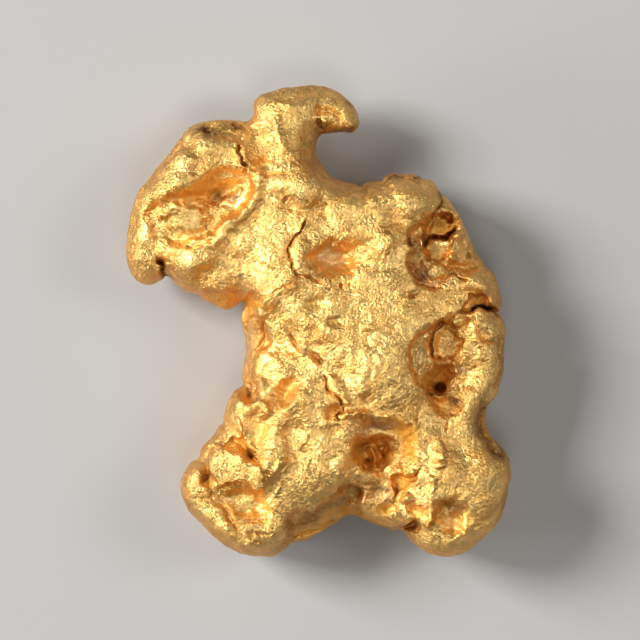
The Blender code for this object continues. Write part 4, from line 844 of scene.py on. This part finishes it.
def paintMasks(obj, maps, step):
    place = readVectors(obj.data.vertices, "co")
    up = readVectors(obj.data.vertex_normals, "vector")[:, 2]
    x = place[:, 0] / unit + shape["sheetMiddle"][0]
    y = shape["sheetMiddle"][1] - place[:, 1] / unit
    z = place[:, 2] / unit + shape["wearDepth"]
    onFront = z > sampleMap(maps["girth"], maps, x, y)
    masks = {"steep": steepness(up)}
    # How far each point sinks below its blurred surroundings, which the colour turns into orange stain and
    # painted shade
    for name, (spread, depth) in masking["dips"].items():
        front, back = (sampleMap((blurred(h, spread, step) - h) / depth, maps, x, y)
                       for h in (maps["front"], -maps["back"]))
        masks[name] = np.where(onFront, front, back) * np.clip(np.abs(up) * 1.5, 0, 1)
    for name, forms in stains.items():
        masks[name] = paintedAt(forms, maps, x, y, z)
    masks["calm"] = np.clip(masks["calm"], 0, 1)
    for name, values in masks.items():
        layer = obj.data.attributes.new(name, "FLOAT", "POINT")
        layer.data.foreach_set("value", np.clip(values, 0, masking["most"]).astype(np.float32))


def addNugget():
    step = shape["step"]
    maps = sheetMaps(step)
    field, heights = nuggetField(maps, step)
    print("form worked out", field.shape)
    grid = openvdb.FloatGrid(background=1.0)
    grid.copyFromArray(np.ascontiguousarray(-field.transpose(1, 0, 2), np.float32))
    points, quads = grid.convertToQuads(isovalue=0.0)
    quads = quads.astype(np.int64)
    points = points * step + (maps["columns"][0], maps["rows"][0], heights[0])
    calm = paintedAt(smoothPatches, maps, *points.T)
    points = roughen(points, vertexNormals(points, quads), calm)
    print("surface roughened", len(points))
    obj = meshObject("nuggetLook", toFrame(points), quads[:, ::-1])
    thinOut(obj, shape["triangles"])
    wearFlat(obj)
    obj.data.shade_smooth()
    paintMasks(obj, maps, step)
    print("nugget made", len(obj.data.polygons))
    return obj


gold = {
    "light": (1.0, 0.61, 0.165, 1),
    "deep": (0.88, 0.48, 0.098, 1),
    "olive": (0.44, 0.32, 0.085, 1),
    "orange": (0.80, 0.36, 0.04, 1),
    "brown": (0.13, 0.045, 0.005, 1),
    "grey": (0.44, 0.29, 0.20, 1),
    "flank": (0.80, 0.62, 0.36, 1),  # painted shade: what the colour is multiplied by where the surface is steep, so the sides come out darker
    "grazing": (1.0, 0.64, 0.30, 1),  # tint towards the edges of what is seen
    "roughness": 0.46,
    "roughnessSpread": (-0.06, 0.1),  # added to it from the least to the most worn
    "dirtRoughness": 0.15,
    "dirtMetallic": 0.55,
    "coatWeight": (0.7, 0.15),  # where it's clean and where it's dirty
    "coatRoughness": 0.29,
    "coatBend": 1.7,
    "mostOlive": 0.9,
    "mostOrange": 0.9,
    "dipStain": 0.3,  # orange stain and painted shade that the hollows and creases have by themselves
    "scratchDepth": 1.0,
    "fineGrain": (2.5, 2, 0.55, 1.7),  # cell in sheet units, detail and roughness of the noise, and depth
    "middleGrain": (6.0, 2, 0.6, 0.5),
    "facets": (2.8, 0.2),  # cell and depth
    "flakes": (2.5, 0.31),  # cell of the tiny crystal faces, and how far they lean
    "scratches": ((0.7, 22, 0.9), (-0.5, 18, 1.0), (1.4, 26, 0.8)),  # turn, length and width of each set
    "scratchHeight": 0.35,
    "calmGrain": 0.45,  # share of the grain that the smooth patches keep
    # noises used as masks: cell, detail and roughness, where it sets in and is full, and what it gives
    "patterns": {
        "blotches": (26, 4, 0.6, 0.38, 0.66),
        "flecks": (5, 3, 0.7, 0.42, 0.62),
        "speckle": (2.6, 2, 0.6, 0.34, 0.52, 0.84, 1.06),
        "stainPatches": (11, 4, 0.65, 0.3, 0.6, 0.45, 1),
        "tarnish": (15, 3, 0.6, 0.42, 0.60, 0.08, 0.62),
        "flankMottling": (5, 3, 0.7, 0.36, 0.62, 1.15, 0.2),
        "brownMottling": (4, 3, 0.6, 0.35, 0.6, 1.0, 0.45),
        "grainPatches": (24, 3, 0.6, 0.35, 0.65, 0.45, 1.25),
        "scratchLines": (1, 2, 0.5, 0.60, 0.72),
    },
}
maskLabels = {
    "steep": "Steep", "hollow": "Hollow", "crease": "Crease", "orange": "Orange Mask", "brown": "Brown Mask",
    "olive": "Olive Mask", "grey": "Grey Mask",
}


def newGroup(name, inputs, outputs):
    group = bpy.data.node_groups.new(name, "ShaderNodeTree")
    for label, kind, value in [("Place", "NodeSocketVector", (0, 0, 0)), *inputs]:
        socket = group.interface.new_socket(label, in_out="INPUT", socket_type=kind)
        socket.default_value = value
    for label, kind in outputs:
        group.interface.new_socket(label, in_out="OUTPUT", socket_type=kind)
    return group, group.nodes.new("NodeGroupInput").outputs, group.nodes.new("NodeGroupOutput").inputs


# Makes a node, sets its properties and sockets, and links what comes from other nodes
def addNode(tree, kind, settings=None, **sockets):
    node = tree.nodes.new(kind)
    for name, value in (settings or {}).items():
        setattr(node, name, value)
    for name, value in sockets.items():
        key = int(name[1:]) if name[1:].isdigit() else name
        if isinstance(value, bpy.types.NodeSocket):
            tree.links.new(value, node.inputs[key])
        else:
            node.inputs[key].default_value = value
    return node


def mixColors(tree, share, first, second, blend="MIX"):
    settings = {"data_type": "RGBA", "blend_type": blend}
    return addNode(tree, "ShaderNodeMix", settings, i0=share, i6=first, i7=second).outputs[2]


def mathOf(tree, operation, first, second, clamp=False):
    settings = {"operation": operation, "use_clamp": clamp}
    return addNode(tree, "ShaderNodeMath", settings, i0=first, i1=second).outputs[0]


def vectorOf(tree, operation, first, **sockets):
    return addNode(tree, "ShaderNodeVectorMath", {"operation": operation}, i0=first, **sockets).outputs[0]


def rangeOf(tree, value, low, high, least=0, most=1):
    node = addNode(tree, "ShaderNodeMapRange", {"interpolation_type": "SMOOTHSTEP"}, i0=value, i1=low,
                   i2=high, i3=least, i4=most)
    return node.outputs[0]


def noiseOf(tree, place, cell, detail, roughness):
    node = addNode(tree, "ShaderNodeTexNoise", None, Vector=place, Scale=1 / cell, Detail=detail,
                   Roughness=roughness)
    return node.outputs["Fac"]


# One of the patterns as a mask
def patternOf(tree, place, name):
    pattern = gold["patterns"][name]
    return rangeOf(tree, noiseOf(tree, place, *pattern[:3]), *pattern[3:])


# Native gold: olive and yellow mottling, orange, grey and brown stain, and painted shade on the steep sides,
# in hollows and creases and in brown and olive patches, with how much of that is dirt and painted shade
def goldColorGroup():
    colors = [(name.title(), "NodeSocketColor", gold[name])
              for name in ("light", "deep", "olive", "orange", "brown", "grey", "flank")]
    masks = [(label, "NodeSocketFloat", 0.0) for label in maskLabels.values()]
    outputs = [("Color", "NodeSocketColor"), ("Dirt", "NodeSocketFloat")]
    group, got, result = newGroup("goldColor", colors + masks, outputs)
    place = got["Place"]
    color = mixColors(group, patternOf(group, place, "blotches"), got["Light"], got["Deep"])
    color = vectorOf(group, "SCALE", color, Scale=patternOf(group, place, "speckle"))
    flecks = rangeOf(group, patternOf(group, place, "flecks"), 0, 1, 0.45, 1)
    # Olive tint: random tarnish together with the painted dark reflections
    tarnish = mathOf(group, "MAXIMUM", got["Olive Mask"], patternOf(group, place, "tarnish"))
    olive = mathOf(group, "MULTIPLY", mathOf(group, "MULTIPLY", tarnish, flecks), gold["mostOlive"])
    color = mixColors(group, olive, color, got["Olive"])
    # Painted shade: the steep sides are darkened, broken up by mottling
    mottled = patternOf(group, place, "flankMottling")
    steep = mathOf(group, "MULTIPLY", got["Steep"], mottled, clamp=True)
    color = mixColors(group, steep, color, got["Flank"], "MULTIPLY")
    # Stain and painted shade: the hollows and creases turn orange by how deep they are
    hollow, crease = (mathOf(group, "MULTIPLY", got[label], gold["dipStain"])
                      for label in ("Hollow", "Crease"))
    patchy = patternOf(group, place, "stainPatches")
    stain = mathOf(group, "ADD", mathOf(group, "MAXIMUM", hollow, crease), got["Orange Mask"])
    stain = mathOf(group, "MULTIPLY", stain, patchy, clamp=True)
    stain = mathOf(group, "MULTIPLY", stain, gold["mostOrange"])
    color = mixColors(group, stain, color, got["Orange"])
    color = mixColors(group, mathOf(group, "MULTIPLY", got["Grey Mask"], patchy), color, got["Grey"])
    broken = patternOf(group, place, "brownMottling")
    brown = mathOf(group, "MULTIPLY", got["Brown Mask"], broken, clamp=True)
    color = mixColors(group, brown, color, got["Brown"])
    group.links.new(color, result["Color"])
    group.links.new(mathOf(group, "MAXIMUM", stain, brown), result["Dirt"])
    return group


# Fine grain and scratches as one height, where they are worn, and the lean of the tiny crystal faces
def goldGrainGroup():
    outputs = [("Height", "NodeSocketFloat"), ("Wear", "NodeSocketFloat"), ("Tilt", "NodeSocketVector")]
    group, got, result = newGroup("goldGrain", [("Calm", "NodeSocketFloat", 0.0)], outputs)
    place = got["Place"]
    fine, middle = (noiseOf(group, place, *gold[name][:3]) for name in ("fineGrain", "middleGrain"))
    facetCell, facetDepth = gold["facets"]
    facets = addNode(group, "ShaderNodeTexVoronoi", {"feature": "SMOOTH_F1"}, Vector=place,
                     Scale=1 / facetCell, Smoothness=0.3, Randomness=1.0).outputs["Distance"]
    height = mathOf(group, "MULTIPLY", fine, gold["fineGrain"][3])
    height = mathOf(group, "ADD", height, mathOf(group, "MULTIPLY", middle, gold["middleGrain"][3]))
    height = mathOf(group, "ADD", height, mathOf(group, "MULTIPLY", facets, facetDepth))
    height = mathOf(group, "MULTIPLY", height, patternOf(group, place, "grainPatches"))
    for turn, length, width in gold["scratches"]:
        turned = addNode(group, "ShaderNodeMapping", {"vector_type": "TEXTURE"}, Vector=place,
                         Rotation=(0, 0, turn), Scale=(length, width, 8)).outputs[0]
        lines = mathOf(group, "MULTIPLY", patternOf(group, turned, "scratchLines"), gold["scratchHeight"])
        height = mathOf(group, "SUBTRACT", height, lines)
    kept = rangeOf(group, got["Calm"], 0, 1, 1, gold["calmGrain"])
    group.links.new(mathOf(group, "MULTIPLY", height, kept), result["Height"])
    group.links.new(rangeOf(group, middle, 0.4, 0.65), result["Wear"])
    flakeCell, flakeTilt = gold["flakes"]
    flakes = addNode(group, "ShaderNodeTexVoronoi", None, Vector=place, Scale=1 / flakeCell).outputs["Color"]
    lean = vectorOf(group, "SUBTRACT", flakes, i1=(0.5, 0.5, 0.5))
    lean = vectorOf(group, "SCALE", lean, Scale=mathOf(group, "MULTIPLY", kept, flakeTilt))
    group.links.new(lean, result["Tilt"])
    return group


def goldMaterial():
    material = bpy.data.materials.new("gold")
    material.use_nodes = True
    tree = material.node_tree
    shader = tree.nodes["Principled BSDF"]
    where = addNode(tree, "ShaderNodeTexCoord").outputs["Object"]
    place = vectorOf(tree, "SCALE", where, Scale=1 / unit)
    masks = {name: addNode(tree, "ShaderNodeAttribute", {"attribute_name": name}).outputs["Fac"]
             for name in (*maskLabels, "calm")}
    colorInputs = {label: masks[name] for name, label in maskLabels.items()}
    color = addNode(tree, "ShaderNodeGroup", {"node_tree": goldColorGroup()}, Place=place,
                    **colorInputs).outputs
    surface = addNode(tree, "ShaderNodeGroup", {"node_tree": goldGrainGroup()}, Place=place,
                      Calm=masks["calm"]).outputs
    bump = addNode(tree, "ShaderNodeBump", None, Strength=gold["scratchDepth"], Distance=unit,
                   Height=surface["Height"]).outputs[0]
    normal = vectorOf(tree, "NORMALIZE", vectorOf(tree, "ADD", bump, i1=surface["Tilt"]))
    dirt = color["Dirt"]
    wornLeast, wornMost = (gold["roughness"] + more for more in gold["roughnessSpread"])
    worn = rangeOf(tree, surface["Wear"], 0, 1, wornLeast, wornMost)
    links = {
        "Base Color": color["Color"],
        "Metallic": rangeOf(tree, dirt, 0, 1, 1.0, gold["dirtMetallic"]),
        "Roughness": mathOf(tree, "ADD", worn, mathOf(tree, "MULTIPLY", dirt, gold["dirtRoughness"])),
        "Coat Weight": rangeOf(tree, dirt, 0.2, 0.9, *gold["coatWeight"]),
        "Normal": normal,
        "Coat Normal": normal,
    }
    for label, socket in links.items():
        tree.links.new(socket, shader.inputs[label])
    shader.inputs["Coat Roughness"].default_value = gold["coatRoughness"]
    shader.inputs["Coat IOR"].default_value = gold["coatBend"]
    shader.inputs["Specular Tint"].default_value = gold["grazing"]
    return material


nugget = addNugget()
nugget.data.materials.clear()
nugget.data.materials.append(goldMaterial())
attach(nugget, "root")
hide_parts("nugget")
print("gold done")

studio = {
    "floorColor": (0.43, 0.425, 0.415, 1),
    "floorRoughness": 0.9,
    "floorSize": 1.2,
    "worldColor": (0.80, 0.78, 0.74, 1),
    "worldStrength": 0.11,
    "cameraLens": 300.0,
    "cameraSpan": 640,  # sheet units across the picture
    "cameraMiddle": (320, 320),
    "rimHeight": 60,  # of the widest girth, where the span is measured
    "lightTarget": (0, 0, 0.003),
    "lights": {  # place over the table, size and power
        "key": ((-0.350, 0.125, 0.275), 0.165, 2.85),
        "fill": ((0.325, 0.075, 0.325), 0.175, 0.6),
        "side": ((-0.375, -0.050, 0.088), 0.125, 0.55),
        "front": ((0.025, -0.200, 0.550), 0.175, 0.62),
    },
}


def addFloor():
    half = studio["floorSize"] / 2
    corners = np.array([(-half, -half, 0), (half, -half, 0), (half, half, 0), (-half, half, 0)])
    floor = meshObject("floor", corners, np.array([[0, 1, 2, 3]]))
    paint = bpy.data.materials.new("floor")
    paint.use_nodes = True
    shader = paint.node_tree.nodes["Principled BSDF"]
    shader.inputs["Base Color"].default_value = studio["floorColor"]
    shader.inputs["Roughness"].default_value = studio["floorRoughness"]
    floor.data.materials.append(paint)


def addLights():
    for name, (place, size, power) in studio["lights"].items():
        light = bpy.data.lights.new(name, "AREA")
        light.size = size
        light.energy = power
        obj = bpy.data.objects.new(name, light)
        bpy.context.scene.collection.objects.link(obj)
        obj.location = place
        way = Vector(studio["lightTarget"]) - obj.location
        obj.rotation_euler = way.to_track_quat("-Z", "Y").to_euler()
    world = bpy.data.worlds.new("studio")
    world.use_nodes = True
    sky = world.node_tree.nodes["Background"]
    sky.inputs["Color"].default_value = studio["worldColor"]
    sky.inputs["Strength"].default_value = studio["worldStrength"]
    bpy.context.scene.world = world


def addCamera():
    lens = bpy.data.cameras.new("camera")
    lens.lens = studio["cameraLens"]
    lens.clip_start = 0.01
    distance = studio["cameraSpan"] * unit * lens.lens / lens.sensor_width
    camera = bpy.data.objects.new("camera", lens)
    bpy.context.scene.collection.objects.link(camera)
    x, y, _ = toFrame(np.array([(*studio["cameraMiddle"], 0.0)]))[0]
    camera.location = (x, y, studio["rimHeight"] * unit + distance)
    bpy.context.scene.camera = camera
    bpy.context.scene.view_settings.view_transform = "Standard"


addFloor()
addLights()
addCamera()
print("studio done")
